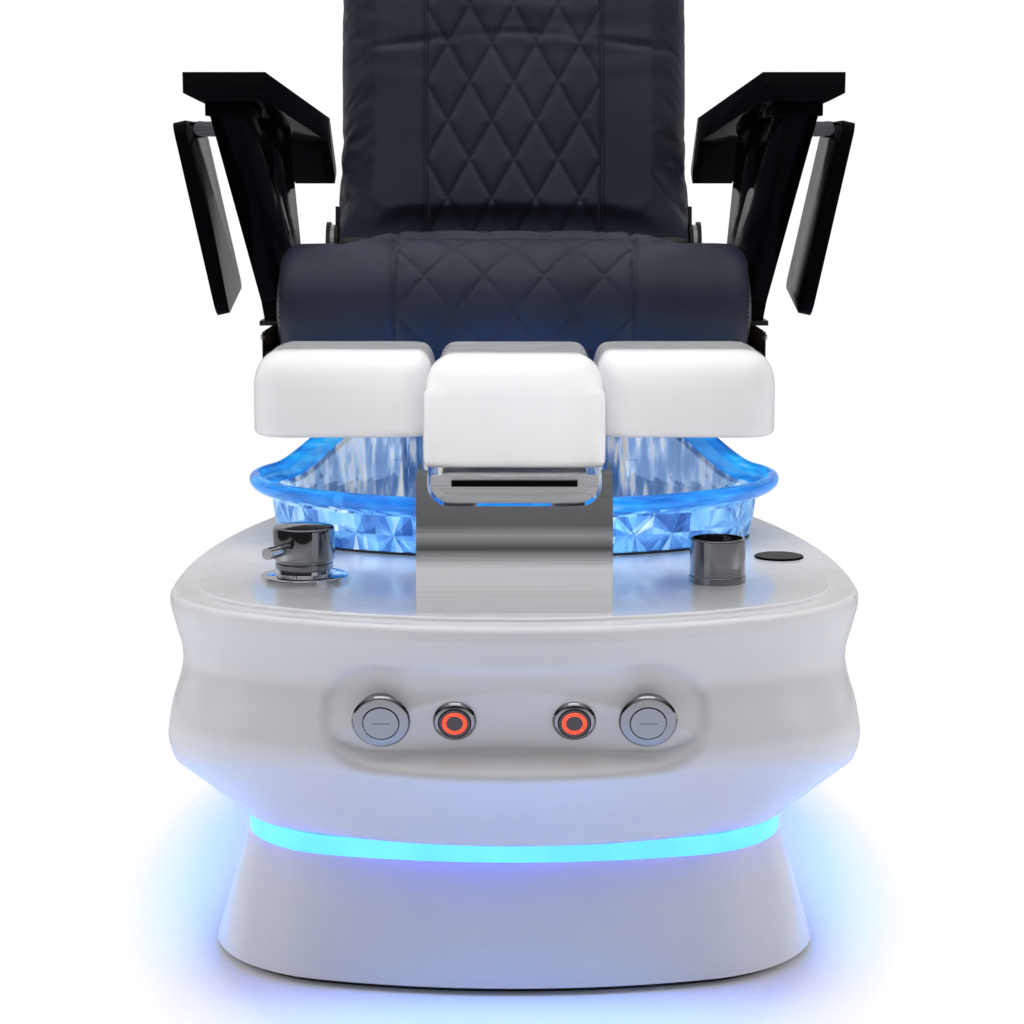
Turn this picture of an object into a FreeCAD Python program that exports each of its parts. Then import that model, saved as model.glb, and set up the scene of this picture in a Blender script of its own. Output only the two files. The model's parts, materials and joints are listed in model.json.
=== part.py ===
import FreeCAD, Part
import math
import os
from FreeCAD import Placement, Rotation, Vector

# Pedicure bench: a tub with a glass foot bath, a footrest and a reclining seat on a sliding frame.
# Millimetres, Z up, the user's feet towards -Y; the origin lies on the floor under the tub's middle.

X_AXIS = Vector(1, 0, 0)
Y_AXIS = Vector(0, 1, 0)
Z_AXIS = Vector(0, 0, 1)

# Clearances and shared small sizes
RUNNING_GAP = 0.3
PIN_GAP = 0.05
OVERRUN = 40.0
SHORTEST_EDGE = 0.001

# Tub, an egg seen from above
TUB_LENGTH = 1150.0
TUB_HALF_WIDTH = 375.0
TUB_WIDEST_SHARE = 0.278
FRONT_RADIUS_SHARE = 1.49
CORNER_RADIUS_SHARE = 0.507
SIDE_RADIUS_SHARE = 0.4253
TUB_FLOOR_HEIGHT = 158.0
TUB_RIM_HEIGHT = 389.0
TUB_WALL = 6.0
# (share of the height from floor to rim, outline offset as a share of the half width)
TUB_SECTION_SHARES = (
    (0.0, -0.208),
    (0.06, -0.172),
    (0.18, -0.088),
    (0.27, -0.025),
    (0.37, 0.015),
    (0.55, 0.0),
    (0.76, -0.033),
    (0.92, -0.012),
    (1.0, 0.0),
)

# Deck
DECK_LIP = 15.0
DECK_LIP_ROUND = 7.0
DECK_LIP_WIDTH = 14.0
DECK_WALL = 6.0
DECK_STEP = 4.0
DECK_STEP_INSET = 30.0
DECK_STEP_ROUND = 2.5

# Plinth and its lit band
BASE_PLATE = 8.0
BASE_PLATE_INSET = 14.0
PLINTH_SIDE_INSET = 40.0
PLINTH_FRONT_INSET = 68.0
PLINTH_REAR_INSET = 90.0
PLINTH_FRONT_RADIUS_SHARE = 2.3
PLINTH_TAPER = 38.0
PLINTH_WALL = 5.0
PLINTH_FOOT_INSET = 32.0
BAND_START = 132.0
BAND_HEIGHT = 18.0
NECK_INSET = 50.0
DIFFUSER = 8.0
LIGHT_STRIP = 3.0
LIGHT_STRIP_HEIGHT = 14.0
LIGHT_STRIP_LIFT = 3.0

# Service niche at the plinth's rear, with its inlets
NICHE_SHARE = 0.94
NICHE_HALF_WIDTH = 120.0
NICHE_HEIGHT = 84.0
SERVICE_HEIGHT = 50.0
STUB_LENGTH = 25.0
STUB_END = 20.0
STUB_STEP = 0.75
HOT_X = -88.0
COLD_X = -56.0
POWER_X = 76.0
POWER_WIDTH = 48.0
POWER_HEIGHT = 28.0
POWER_DEPTH = 30.0
POWER_FLANGE = 4.0
POWER_FLANGE_RIM = 6.0
POWER_PIN_RADIUS = 2.0
POWER_PIN_PITCH = 14.0
POWER_WELL = 18.0
CONTROL_BOX_SIZE = (140.0, 150.0, 60.0)
CONTROL_BOX_X = 70.0
CONTROL_BOX_WALL = 2.5

# Control recess in the tub's front and its four buttons
RECESS_HALF_WIDTH = 196.0
RECESS_HALF_HEIGHT = 59.0
RECESS_DRAFT = 14.0
RECESS_DEPTH = 27.0
PANEL_LEAN = 17.0
BUTTON_HEIGHT_SHARE = 0.631
PANEL_WALL = 6.0
LARGE_X = 134.0
LARGE_BEZEL_RADIUS = 29.5
LARGE_BUTTON_RADIUS = 17.5
RING_X = 60.0
RING_BEZEL_RADIUS = 22.0
RING_BUTTON_RADIUS = 15.5
BEZEL_FLANGE = 5.0
BEZEL_ROUND = 2.0
BEZEL_BARREL = 26.0
BUTTON_LENGTH = 18.0
BUTTON_TRAVEL = 3.0
BUTTON_SPARE_TRAVEL = 1.0
BUTTON_PROUD = 0.5
MARK_LENGTH = 18.0
MARK_WIDTH = 1.4
MARK_DEPTH = 0.6
LIGHT_RING_OUTER = 12.5
LIGHT_RING_INNER = 8.5
LIGHT_RING_DEPTH = 1.2

# Glass foot bath
BOWL_CENTRE_SHARE = 0.5013
BOWL_WIDTH_SHARE = 0.866
BOWL_DEPTH_SHARE = 0.1926
BOWL_STATIONS = 48
BOWL_GLASS = 8.0
BOWL_DROP = 146.0
BOWL_RIM_LIFT = 77.0
BOWL_RIM_SWING = 5.0
BOWL_SEAT_GAP = 9.0
BOWL_RISE_START = 13.0
BOWL_RISE_END = 42.5
BOWL_FOOT_SHARE = 0.66
BOWL_HEEL_SHARE = 0.80
BOWL_HEEL_LIFT = 42.0
BOWL_NECK_INSET = 44.0
BOWL_SHOULDER_INSET = 34.0
BOWL_WALL_INSET = 26.0
BOWL_FLARE_HEIGHT = 24.0
BOWL_FLARE_SHARE = 0.42
BOWL_ROLL = 14.0
GASKET = 3.0
GASKET_TUCK = 4.0
GLOW_RING_WIDTH = 10.0
GLOW_RING_HEIGHT = 8.0
GLOW_RING_INSET = 6.0

# Bowl drain
DRAIN_BORE = 26.0
DRAIN_FLANGE_RADIUS = 36.0
DRAIN_FLANGE = 2.5
DRAIN_TAIL_RADIUS = 25.5
DRAIN_TAIL = 36.0
DRAIN_INNER_RADIUS = 18.0
DRAIN_NUT_RADIUS = 38.0
DRAIN_NUT = 12.0
STOPPER_RADIUS = 24.0
STOPPER = 5.0
STOPPER_STEM_RADIUS = 5.0
STOPPER_STEM = 30.0
STOPPER_GUIDE_RADIUS = 9.0
STOPPER_GUIDE = 5.0
STOPPER_SPOKE = 4.0
DRAIN_PIPE_RADIUS = 20.0
DRAIN_PIPE_WALL = 2.5
DRAIN_BEND = 60.0
PIPE_CLEARANCE = 2.0

# Mixer on the deck's left
MIXER_X_SHARE = 0.613
MIXER_Y_SHARE = 0.2217
MIXER_FLANGE_RADIUS = 48.0
MIXER_FLANGE = 5.0
MIXER_STEP_RADIUS = 30.0
MIXER_STEP = 7.0
MIXER_BODY_RADIUS = 22.0
MIXER_BODY = 68.0
MIXER_STEM_RADIUS = 9.0
MIXER_STEM = 30.0
KNOB_RADIUS = 33.5
KNOB_HEIGHT = 46.0
KNOB_ROUND = 3.0
KNOB_GROOVE = 2.0
KNOB_GROOVE_HEIGHT = 3.0
KNOB_GROOVE_LIFT = 7.0
LEVER_RADIUS = 6.5
LEVER_REACH = 72.0
LEVER_SEAT = 12.0
LEVER_LIFT_SHARE = 0.55
LEVER_TURN = 28.0
HOSE_RADIUS = 8.0
HOSE_BORE = 5.0
HOSE_BEND = 40.0
HOSE_SPREAD = 22.0
HOSE_HOLE_GAP = 1.5
HOSE_TURN_SHARE = 0.333

# Hand sprayer and flush cap on the deck's right
SPRAYER_X_SHARE = 0.589
SPRAYER_Y_SHARE = 0.207
SPRAYER_RADIUS = 30.0
SPRAYER_HEIGHT = 40.0
SPRAYER_ROUND = 2.0
SPRAYER_DISH = 5.0
SPRAYER_RIM = 3.0
SPRAYER_RING_RADIUS = 31.0
SPRAYER_RING = 8.0
SPRAYER_STEM_RADIUS = 14.0
SPRAYER_STEM = 34.0
SPRAYER_HOSE_RADIUS = 7.0
SPRAYER_HOSE_BORE = 4.0
SPRAYER_HOSE = 100.0
CAP_X_SHARE = 0.816
CAP_Y_SHARE = 0.342
CAP_RADIUS = 28.5
CAP_FLANGE = 2.5
CAP_ROUND = 1.5
CAP_BODY_RADIUS = 24.0
CAP_BODY = 20.0

# Footrest: cover, column, carriage and pads
COVER_Y_SHARE = 0.0505
COVER_HALF_WIDTH = 99.0
COVER_SHEET = 2.0
COVER_STRAIGHT = 62.0
COVER_RADIUS = 190.0
COVER_BEND = 24.0
COVER_DEPTH = 104.0
COVER_HOOD = 47.5
NOTCH_HALF_WIDTH = 88.0
NOTCH_LIFT = 108.0
NOTCH_RADIUS = 22.0
COLUMN_SETBACK = 82.0
COLUMN_X = 56.0
COLUMN_RADIUS = 12.5
COLUMN_BORE = 9.5
COLUMN_HEIGHT = 112.0
COLUMN_FOOT = 6.0
COLUMN_FOOT_MARGIN = 22.0
SLEEVE_WALL = 5.0
SLEEVE_START = 28.0
SLEEVE_TOP = 132.0
CARRIAGE_HALF_WIDTH = 85.0
CARRIAGE_LIFT = 110.0
CARRIAGE_PLATE = 4.0
CARRIAGE_SETBACK = 17.0
CARRIAGE_RIM = 8.0
CARRIAGE_RIM_PROUD = 3.0
CARRIAGE_TOP = 138.0
CARRIAGE_CORNER = 22.0
CARRIAGE_BRIDGE_HEIGHT = 16.0
BAR_HALF_WIDTH = 63.5
BAR_HEIGHT = 6.0
BAR_LIFT = 130.0
BAR_PROUD = 5.0
BAR_DEPTH = 14.0
BAR_TRAVEL = 4.0
CROSSBAR_RADIUS = 9.0
CROSSBAR_HALF_LENGTH = 262.0
CROSSBAR_SETBACK = 165.0
CROSSBAR_LIFT = 196.0
LUG_HALF_WIDTH = 14.0
PAD_SADDLE_LIFT = 208.0
PAD_TOP = 258.0
PAD_APRON_LIFT = 142.0
PAD_APRON_HALF_WIDTH = 93.0
PAD_APRON = 36.0
PAD_APRON_CORNER = 12.0
PAD_APRON_SETBACK = 34.0
PAD_HALF_WIDTH = 79.0
PAD_DEPTH = 196.0
PAD_ROUND = 10.0
PAD_SIDE_START = 84.0
PAD_SIDE_END = 274.0
PAD_SIDE_SETBACK = 92.0
PAD_SIDE_DEPTH = 158.0
PAD_SIDE_LIFT = 166.0
PAD_SIDE_TOP = 257.0
PAD_SIDE_CORNER = 42.0
PAD_SIDE_INNER_CORNER = 14.0

# Pedestal and slide
PEDESTAL_START_SHARE = 0.718
PEDESTAL_END_SHARE = 0.882
PEDESTAL_HALF_WIDTH = 150.0
PEDESTAL_HEIGHT = 152.0
PEDESTAL_CORNER = 26.0
PEDESTAL_WALL = 6.0
RAIL_X = 108.0
RAIL_HEAD_HALF = 15.0
RAIL_FOOT_HALF = 10.0
RAIL_FOOT = 6.0
RAIL_HEIGHT = 16.0
RUNNER_WALL = 4.0
RUNNER_TOP = 6.0
RUNNER_LIP = 3.0
RUNNER_START = 25.0
RUNNER_END = 420.0

# Seat frame, shell and cushion
SEAT_CENTRE_SHARE = 0.609
FRAME_PLATE = 6.0
FRAME_HALF_WIDTH = 262.0
FRAME_START = 25.0
SHELL_HALF_WIDTH = 318.0
SHELL_WALL = 5.0
SHELL_START = -40.0
SHELL_END = 475.0
SHELL_HEIGHT = 60.0
SHELL_CORNER = 14.0
TRIM_WIDTH = 2.0
TRIM_HEIGHT = 5.0
TRIM_DROP = 9.0
ROLL_RADIUS = 84.0
ROLL_HALF_WIDTH = 304.0
ROLL_END_ROUND = 18.0
ROLL_GAP = 3.0
SLAB_HALF_WIDTH = 262.0
SLAB_END = 458.0
SLAB_ROLL_GAP = 8.0
SLAB_RISE = 57.0
SLAB_EDGE_HEIGHT = 84.0
SLAB_CROWN = 13.0
SLAB_DRAW = 6.0
SLAB_ROUND = 22.0
BASE_WALL = 18.0
DRAW_MIDDLE_SHARE = 0.33
QUILT_COLUMNS = 4
ROLL_QUILT_HALF_WIDTH = 149.0
ROLL_QUILT_ROW = 100.0
BACK_QUILT_HALF_WIDTH = 131.0
BACK_QUILT_ROW = 113.0
QUILT_GROOVE = 3.0
QUILT_DEPTH = 2.5
SEAM_GROOVE = 4.0

# Arms, leg frames and trays
ARM_START = -52.0
ARM_END = 475.0
ARM_HOOK = 72.0
ARM_HOOK_DROP = 78.0
ARM_TOP_LIFT = 382.0
ARM_FALL = 44.0
ARM_THICKNESS = 35.0
ARM_NOSE = 10.0
ARM_NOSE_LIFT = 17.0
ARM_INNER_FRONT = 308.0
ARM_INNER_REAR = 272.0
ARM_OUTER_FRONT = 412.0
ARM_OUTER_REAR = 352.0
ARM_HOOK_INNER = 265.0
ARM_CHAMFER = 24.0
ARM_CHAMFER_HEIGHT = 12.0
ARM_CORNER = 16.0
ARM_EDGE = 3.0
ARM_MARGIN = 1.0
LEG_LEAN = 9.8
LEG_TOE = 3.8
LEG_THICKNESS = 34.0
LEG_OUTER = 392.0
LEG_FRONT_TOP = -30.0
LEG_ROLL_GAP = 24.0
LEG_REAR_FOOT = 270.0
LEG_REAR_TOP = 420.0
LEG_NOTCH_FRONT = 160.0
LEG_NOTCH_REAR = 262.0
LEG_NOTCH_MIDDLE = 196.0
LEG_NOTCH_DEPTH = 96.0
LEG_EDGE = 2.5
LEG_NOTCH_CORNER = 5.0
LEG_FOOT_HEIGHT = 20.0
LEG_HEAD = 18.0
LEG_HEAD_INNER = 322.0
LEG_HEAD_OUTER = 384.0
LEG_HEAD_LENGTH = 170.0
BRACKET = 6.0
BRACKET_INNER = 268.0
BRACKET_FOOT = 305.0
BRACKET_REACH = 334.0
BRACKET_ROLL_GAP = 6.0
BRACKET_END = 286.0
HINGE_X = 397.0
HINGE_DROP = 68.0
HINGE_PIN = 4.0
HINGE_CHEEK = 8.0
HINGE_CHEEK_RADIUS = 9.0
HINGE_START = 20.0
HINGE_LENGTH = 58.0
HINGE_LUG_DEPTH = 10.0
TRAY_GAP = 9.0
TRAY_THICKNESS = 15.0
TRAY_ABOVE = 11.5
TRAY_BELOW = 235.0
TRAY_REAR_RISE = 27.0
TRAY_START = -50.0
TRAY_LENGTH = 200.0
TRAY_CORNER = 17.0
TRAY_LEAN = 12.0

# Back
BACK_LEAN = 12.0
BACK_PIVOT = 515.0
BACK_PIVOT_LIFT = 152.0
BACK_HALF_WIDTH = 260.0
BACK_FRONT = 50.0
BACK_THICKNESS = 108.0
BACK_START = 10.0
BACK_HEIGHT = 660.0
BACK_CROWN = 14.0
BACK_DRAW = 8.0
BACK_CORNER = 60.0
BACK_ROUND = 26.0
BACK_FRAME_PLATE = 6.0
BACK_FRAME_HALF_WIDTH = 240.0
BACK_FRAME_INSET = 40.0
BACK_SHELL = 14.0
BACK_SHELL_HALF_WIDTH = 254.0
BACK_SHELL_INSET = 8.0
BACK_SHELL_ROUND = 10.0
SIDE_ARM = 5.0
SIDE_ARM_X = 261.0
SIDE_ARM_RADIUS = 28.0
SIDE_ARM_RISE = 58.0
RECLINER = 5.6
RECLINER_RADIUS = 30.0
RECLINER_PIN = 8.0
EAR = 6.0
EAR_HALF_LENGTH = 34.0
PILLOW_HALF_WIDTH = 165.0
PILLOW_THICKNESS = 58.0
PILLOW_HEIGHT = 150.0
PILLOW_DROP = 30.0
PILLOW_ROUND = 24.0

# Places that follow from the sizes above
FRONT = -TUB_LENGTH / 2
REAR = TUB_LENGTH / 2
DECK_EDGE_TOP = TUB_RIM_HEIGHT + DECK_LIP
DECK_TOP = DECK_EDGE_TOP + DECK_STEP
DECK_UNDERSIDE = DECK_EDGE_TOP - DECK_WALL
BOWL_REAR_RISE = PEDESTAL_HEIGHT - BOWL_RIM_LIFT - BOWL_RIM_SWING - BOWL_SEAT_GAP
PLINTH_HALF_WIDTH = TUB_HALF_WIDTH - PLINTH_SIDE_INSET
PLINTH_FRONT = FRONT + PLINTH_FRONT_INSET
PLINTH_REAR = REAR - PLINTH_REAR_INSET
NICHE_Y = PLINTH_REAR * NICHE_SHARE - PLINTH_TAPER
BUTTON_Z = TUB_FLOOR_HEIGHT + BUTTON_HEIGHT_SHARE * (TUB_RIM_HEIGHT - TUB_FLOOR_HEIGHT)
PANEL_Y = FRONT + RECESS_DEPTH
BOWL_Y = FRONT + BOWL_CENTRE_SHARE * TUB_LENGTH
BOWL_HALF_WIDTH = BOWL_WIDTH_SHARE * TUB_HALF_WIDTH
BOWL_HALF_DEPTH = BOWL_DEPTH_SHARE * TUB_LENGTH
BOWL_BOTTOM = DECK_TOP - BOWL_DROP
BOWL_INSIDE = BOWL_BOTTOM + BOWL_GLASS
SHOULDER_Z = DECK_TOP + GASKET
MIXER_X = -MIXER_X_SHARE * TUB_HALF_WIDTH
MIXER_Y = FRONT + MIXER_Y_SHARE * TUB_LENGTH
SPRAYER_X = SPRAYER_X_SHARE * TUB_HALF_WIDTH
SPRAYER_Y = FRONT + SPRAYER_Y_SHARE * TUB_LENGTH
CAP_X = CAP_X_SHARE * TUB_HALF_WIDTH
CAP_Y = FRONT + CAP_Y_SHARE * TUB_LENGTH
COVER_Y = FRONT + COVER_Y_SHARE * TUB_LENGTH
CROSSBAR_Y = COVER_Y + CROSSBAR_SETBACK
CROSSBAR_Z = DECK_TOP + CROSSBAR_LIFT
PEDESTAL_START = FRONT + PEDESTAL_START_SHARE * TUB_LENGTH
PEDESTAL_END = FRONT + PEDESTAL_END_SHARE * TUB_LENGTH
PEDESTAL_TOP = DECK_TOP + PEDESTAL_HEIGHT
SEAT_Y = FRONT + SEAT_CENTRE_SHARE * TUB_LENGTH
RUNNER_Z = PEDESTAL_TOP + RAIL_HEIGHT + RUNNING_GAP
FRAME_Z = RUNNER_Z + RUNNER_TOP
SHELL_Z = FRAME_Z + FRAME_PLATE
SEAT_FLOOR = SHELL_Z + SHELL_WALL
SHELL_RIM = SHELL_Z + SHELL_HEIGHT
BRACKET_TOP = SHELL_RIM + RUNNING_GAP + BRACKET
SLAB_Z = SEAT_FLOOR + SLAB_RISE
ROLL_LIFT = SHELL_WALL + ROLL_GAP + ROLL_RADIUS
SLAB_START = ROLL_RADIUS + SLAB_ROLL_GAP
BRACKET_START = ROLL_RADIUS + BRACKET_ROLL_GAP
LEG_FRONT_FOOT = ROLL_RADIUS + LEG_ROLL_GAP
ARM_TOP = SHELL_Z + ARM_TOP_LIFT
HINGE_Z = ARM_TOP - HINGE_DROP
PIVOT_Y = SEAT_Y + BACK_PIVOT
PIVOT_Z = SHELL_Z + BACK_PIVOT_LIFT


def box(x_range, y_range, z_range):
    """Box between two limits along each axis."""
    low = Vector(x_range[0], y_range[0], z_range[0])
    high = Vector(x_range[1], y_range[1], z_range[1])
    size = high - low
    return Part.makeBox(size.x, size.y, size.z, low)


def rod(radius, start, end):
    """Cylinder between two points."""
    run = Vector(*end) - Vector(*start)
    return Part.makeCylinder(radius, run.Length, Vector(*start), run)


def ring(outer, inner, start, end):
    """Tube between two points."""
    return rod(outer, start, end).cut(rod(inner, start, end))


def rounded_path(points, radii, closed=False):
    """Wire of straight runs joined by tangent arcs, one radius for all corners or one each."""
    points = [Vector(*point) for point in points]
    count = len(points)
    if not isinstance(radii, (list, tuple)):
        radii = [radii] * count
    corners = {}
    for index in range(0 if closed else 1, count if closed else count - 1):
        here = points[index]
        before = (points[index - 1] - here).normalize()
        after = (points[(index + 1) % count] - here).normalize()
        half = before.getAngle(after) / 2
        reach = radii[index] / math.tan(half)
        bulge = radii[index] / math.sin(half) - radii[index]
        middle = here + (before + after).normalize() * bulge
        corners[index] = (here + before * reach, middle, here + after * reach)
    edges = []
    for index in range(count if closed else count - 1):
        following = (index + 1) % count
        start = corners[index][2] if index in corners else points[index]
        end = corners[following][0] if following in corners else points[following]
        if (end - start).Length > SHORTEST_EDGE:
            edges.append(Part.makeLine(start, end))
        if following in corners and (closed or following < count - 1):
            edges.append(Part.Arc(*corners[following]).toShape())
    return Part.Wire(edges)


def outline_prism(points, radii, run):
    """Flat outline with rounded corners, carried along a run."""
    return Part.Face(rounded_path(points, radii, True)).extrude(Vector(*run))


def polygon_prism(points, run):
    """Flat outline with sharp corners, carried along a run."""
    points = [Vector(*point) for point in points]
    return Part.Face(Part.makePolygon(points + points[:1])).extrude(Vector(*run))


def rectangle(x_range, y_range, z):
    """Corners of a level rectangle."""
    return [(x, y, z) for x, y in zip((x_range[0], x_range[1], x_range[1], x_range[0]),
                                      (y_range[0], y_range[0], y_range[1], y_range[1]))]


def hose(points, bend, radius, bore):
    """Tube along straight runs and tangent bends."""
    path = rounded_path(points, bend)
    start = Vector(*points[0])
    heading = Vector(*points[1]) - start
    solids = []
    for size in (radius, bore):
        profile = Part.Wire(Part.makeCircle(size, start, heading))
        solids.append(path.makePipeShell([profile], True, False))
    return solids[0].cut(solids[1])


def turned_stub(pipe, x, radius):
    """The pipe with its free end in the niche turned down to a plain spigot."""
    end = NICHE_Y + STUB_LENGTH
    start = (x, end - STUB_END, SERVICE_HEIGHT)
    return pipe.cut(ring(radius + OVERRUN, radius - STUB_STEP, start, (x, end + OVERRUN, SERVICE_HEIGHT)))


def mirrored(shape):
    """The same shape on the other side of the middle plane."""
    return shape.mirror(Vector(0, 0, 0), X_AXIS)


def both_sides(shape):
    """The shape and its mirror image as two separate solids."""
    return Part.makeCompound([shape, mirrored(shape)])


def edges_where(shape, test):
    """Edges whose every vertex passes the test."""
    return [edge for edge in shape.Edges if all(test(vertex.Point) for vertex in edge.Vertexes)]


def level_at(height):
    """Test for points on the level plane at a height."""
    return lambda point: abs(point.z - height) < SHORTEST_EDGE


def egg(half_width, front, rear, front_share, offset, z):
    """Closed egg of six tangent arcs: front, two corners, two sides and rear."""
    widest = front + TUB_WIDEST_SHARE * (rear - front)
    front_radius = front_share * half_width
    corner_radius = CORNER_RADIUS_SHARE * half_width
    side_radius = SIDE_RADIUS_SHARE * (rear - front) ** 2 / half_width
    side = Vector(half_width - side_radius, widest, z)
    nose = Vector(0, front + front_radius, z)
    surplus = side_radius - rear
    tail_y = (side.x ** 2 + widest ** 2 - surplus ** 2) / (2 * (surplus + widest))
    tail = Vector(0, tail_y, z)
    corner = circle_meeting(nose, front_radius - corner_radius, side, side_radius - corner_radius)
    to_nose = (corner - nose).normalize()
    to_side = (corner - side).normalize()
    to_tail = (tail - side).normalize()
    nose_point = nose + to_nose * (front_radius + offset)
    side_point = side + to_side * (side_radius + offset)
    tail_point = side + to_tail * (side_radius + offset)
    corner_middle = corner + (to_nose + to_side).normalize() * (corner_radius + offset)
    side_middle = side + (to_side + to_tail).normalize() * (side_radius + offset)
    front_point = Vector(0, front - offset, z)
    rear_point = Vector(0, rear + offset, z)

    def flipped(point):
        return Vector(-point.x, point.y, point.z)

    arcs = [
        (flipped(nose_point), front_point, nose_point),
        (nose_point, corner_middle, side_point),
        (side_point, side_middle, tail_point),
        (tail_point, rear_point, flipped(tail_point)),
        (flipped(tail_point), flipped(side_middle), flipped(side_point)),
        (flipped(side_point), flipped(corner_middle), flipped(nose_point)),
    ]
    return Part.Wire([Part.Arc(*arc).toShape() for arc in arcs])


def circle_meeting(first, first_radius, second, second_radius):
    """Where two level circles meet, on the side nearer the front."""
    between = second - first
    gap = between.Length
    along = (gap ** 2 + first_radius ** 2 - second_radius ** 2) / (2 * gap)
    across = math.sqrt(first_radius ** 2 - along ** 2)
    unit = between.normalize()
    side = Vector(-unit.y, unit.x, 0)
    options = [first + unit * along + side * across, first + unit * along - side * across]
    return min(options, key=lambda point: point.y)


def tub_egg(offset, z):
    """Outline of the tub, moved outwards by an offset."""
    return egg(TUB_HALF_WIDTH, FRONT, REAR, FRONT_RADIUS_SHARE, offset, z)


def plinth_egg(offset, z):
    """Outline of the plinth at the floor, moved outwards by an offset."""
    share = PLINTH_FRONT_RADIUS_SHARE
    return egg(PLINTH_HALF_WIDTH, PLINTH_FRONT, PLINTH_REAR, share, offset, z)


def lift(wire, height):
    """Solid of a level outline raised by a height."""
    return Part.Face(wire).extrude(Vector(0, 0, height))


def band_between(outer, inner, height):
    """Standing band between two level outlines."""
    return lift(outer, height).cut(lift(inner, height))


# Base


def base_plate():
    return lift(plinth_egg(-BASE_PLATE_INSET, 0), BASE_PLATE)


def plinth_solid(inset, start, end):
    """Tapered plinth body, moved inwards by an inset."""
    run = BAND_START - BASE_PLATE
    wires = []
    for z in (start, end):
        taper = PLINTH_TAPER * (z - BASE_PLATE) / run
        wires.append(plinth_egg(-inset - taper, z))
    return Part.makeLoft(wires, True, True)


def plinth_skirt():
    outer = plinth_solid(0, BASE_PLATE, BAND_START)
    inner = plinth_solid(PLINTH_WALL, BASE_PLATE - OVERRUN, BAND_START + OVERRUN)
    neck_height = TUB_FLOOR_HEIGHT - BAND_START + PLINTH_WALL
    neck = lift(plinth_egg(-NECK_INSET, BAND_START - PLINTH_WALL), neck_height)
    neck_bore = lift(plinth_egg(-NECK_INSET - PLINTH_WALL, BASE_PLATE), TUB_FLOOR_HEIGHT)
    shoulder = lift(plinth_egg(-PLINTH_TAPER, BAND_START - PLINTH_WALL), PLINTH_WALL)
    shoulder = shoulder.common(outer)
    foot_outer = plinth_egg(-PLINTH_WALL, BASE_PLATE)
    foot = band_between(foot_outer, plinth_egg(-PLINTH_FOOT_INSET, BASE_PLATE), PLINTH_WALL)
    niche_limits = (-NICHE_HALF_WIDTH, NICHE_HALF_WIDTH)
    niche_top = BASE_PLATE + NICHE_HEIGHT
    niche = box(niche_limits, (NICHE_Y, REAR), (BASE_PLATE, niche_top))
    wider = (-NICHE_HALF_WIDTH - PLINTH_WALL, NICHE_HALF_WIDTH + PLINTH_WALL)
    niche_wall = box(wider, (NICHE_Y - PLINTH_WALL, REAR), (BASE_PLATE, niche_top + PLINTH_WALL))
    skirt = outer.cut(inner).fuse([foot, shoulder, neck, niche_wall.common(outer)])
    skirt = skirt.cut(neck_bore.cut(foot.fuse(niche_wall))).cut(niche)
    tools = []
    for x, radius in ((HOT_X, HOSE_RADIUS), (COLD_X, HOSE_RADIUS), (0, DRAIN_PIPE_RADIUS)):
        start = (x, NICHE_Y - OVERRUN, SERVICE_HEIGHT)
        tools.append(rod(radius + HOSE_HOLE_GAP, start, (x, REAR, SERVICE_HEIGHT)))
    tools.append(power_body(RUNNING_GAP))
    return skirt.cut(tools).removeSplitter()


def power_body(gap):
    """Housing of the power inlet, grown by a gap."""
    half_width = POWER_WIDTH / 2 + gap
    half_height = POWER_HEIGHT / 2 + gap
    x_range = (POWER_X - half_width, POWER_X + half_width)
    z_range = (SERVICE_HEIGHT - half_height, SERVICE_HEIGHT + half_height)
    return box(x_range, (NICHE_Y - POWER_DEPTH, NICHE_Y), z_range)


def power_inlet():
    half_width = POWER_WIDTH / 2
    half_height = POWER_HEIGHT / 2
    rim_width = half_width + POWER_FLANGE_RIM
    rim_height = half_height + POWER_FLANGE_RIM
    flange = box((POWER_X - rim_width, POWER_X + rim_width), (NICHE_Y, NICHE_Y + POWER_FLANGE),
                 (SERVICE_HEIGHT - rim_height, SERVICE_HEIGHT + rim_height))
    well_x = (POWER_X - half_width + POWER_FLANGE, POWER_X + half_width - POWER_FLANGE)
    well_z = (SERVICE_HEIGHT - half_height + POWER_FLANGE, SERVICE_HEIGHT + half_height - POWER_FLANGE)
    well = box(well_x, (NICHE_Y + POWER_FLANGE - POWER_WELL, NICHE_Y + OVERRUN), well_z)
    pins = []
    for step in (-1, 0, 1):
        x = POWER_X + step * POWER_PIN_PITCH
        start = (x, NICHE_Y + POWER_FLANGE - POWER_WELL - POWER_FLANGE, SERVICE_HEIGHT)
        pins.append(rod(POWER_PIN_RADIUS, start, (x, NICHE_Y, SERVICE_HEIGHT)))
    return power_body(0).fuse(flange).cut(well).fuse(pins).removeSplitter()


def control_box():
    width, depth, height = CONTROL_BOX_SIZE
    x_range = (CONTROL_BOX_X, CONTROL_BOX_X + width)
    y_range = (-depth / 2, depth / 2)
    outer = box(x_range, y_range, (BASE_PLATE, BASE_PLATE + height))
    wall = CONTROL_BOX_WALL
    inner = box(
        (x_range[0] + wall, x_range[1] - wall),
        (y_range[0] + wall, y_range[1] - wall),
        (BASE_PLATE + wall, BASE_PLATE + height - wall),
    )
    return outer.cut(inner)


def led_diffuser():
    outer = plinth_egg(-PLINTH_TAPER, BAND_START)
    inner = plinth_egg(-PLINTH_TAPER - DIFFUSER, BAND_START)
    return band_between(outer, inner, BAND_HEIGHT)


def led_strip():
    z = BAND_START + LIGHT_STRIP_LIFT
    outer = plinth_egg(-NECK_INSET + LIGHT_STRIP, z)
    return band_between(outer, plinth_egg(-NECK_INSET, z), LIGHT_STRIP_HEIGHT)


# Tub and its control recess


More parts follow.
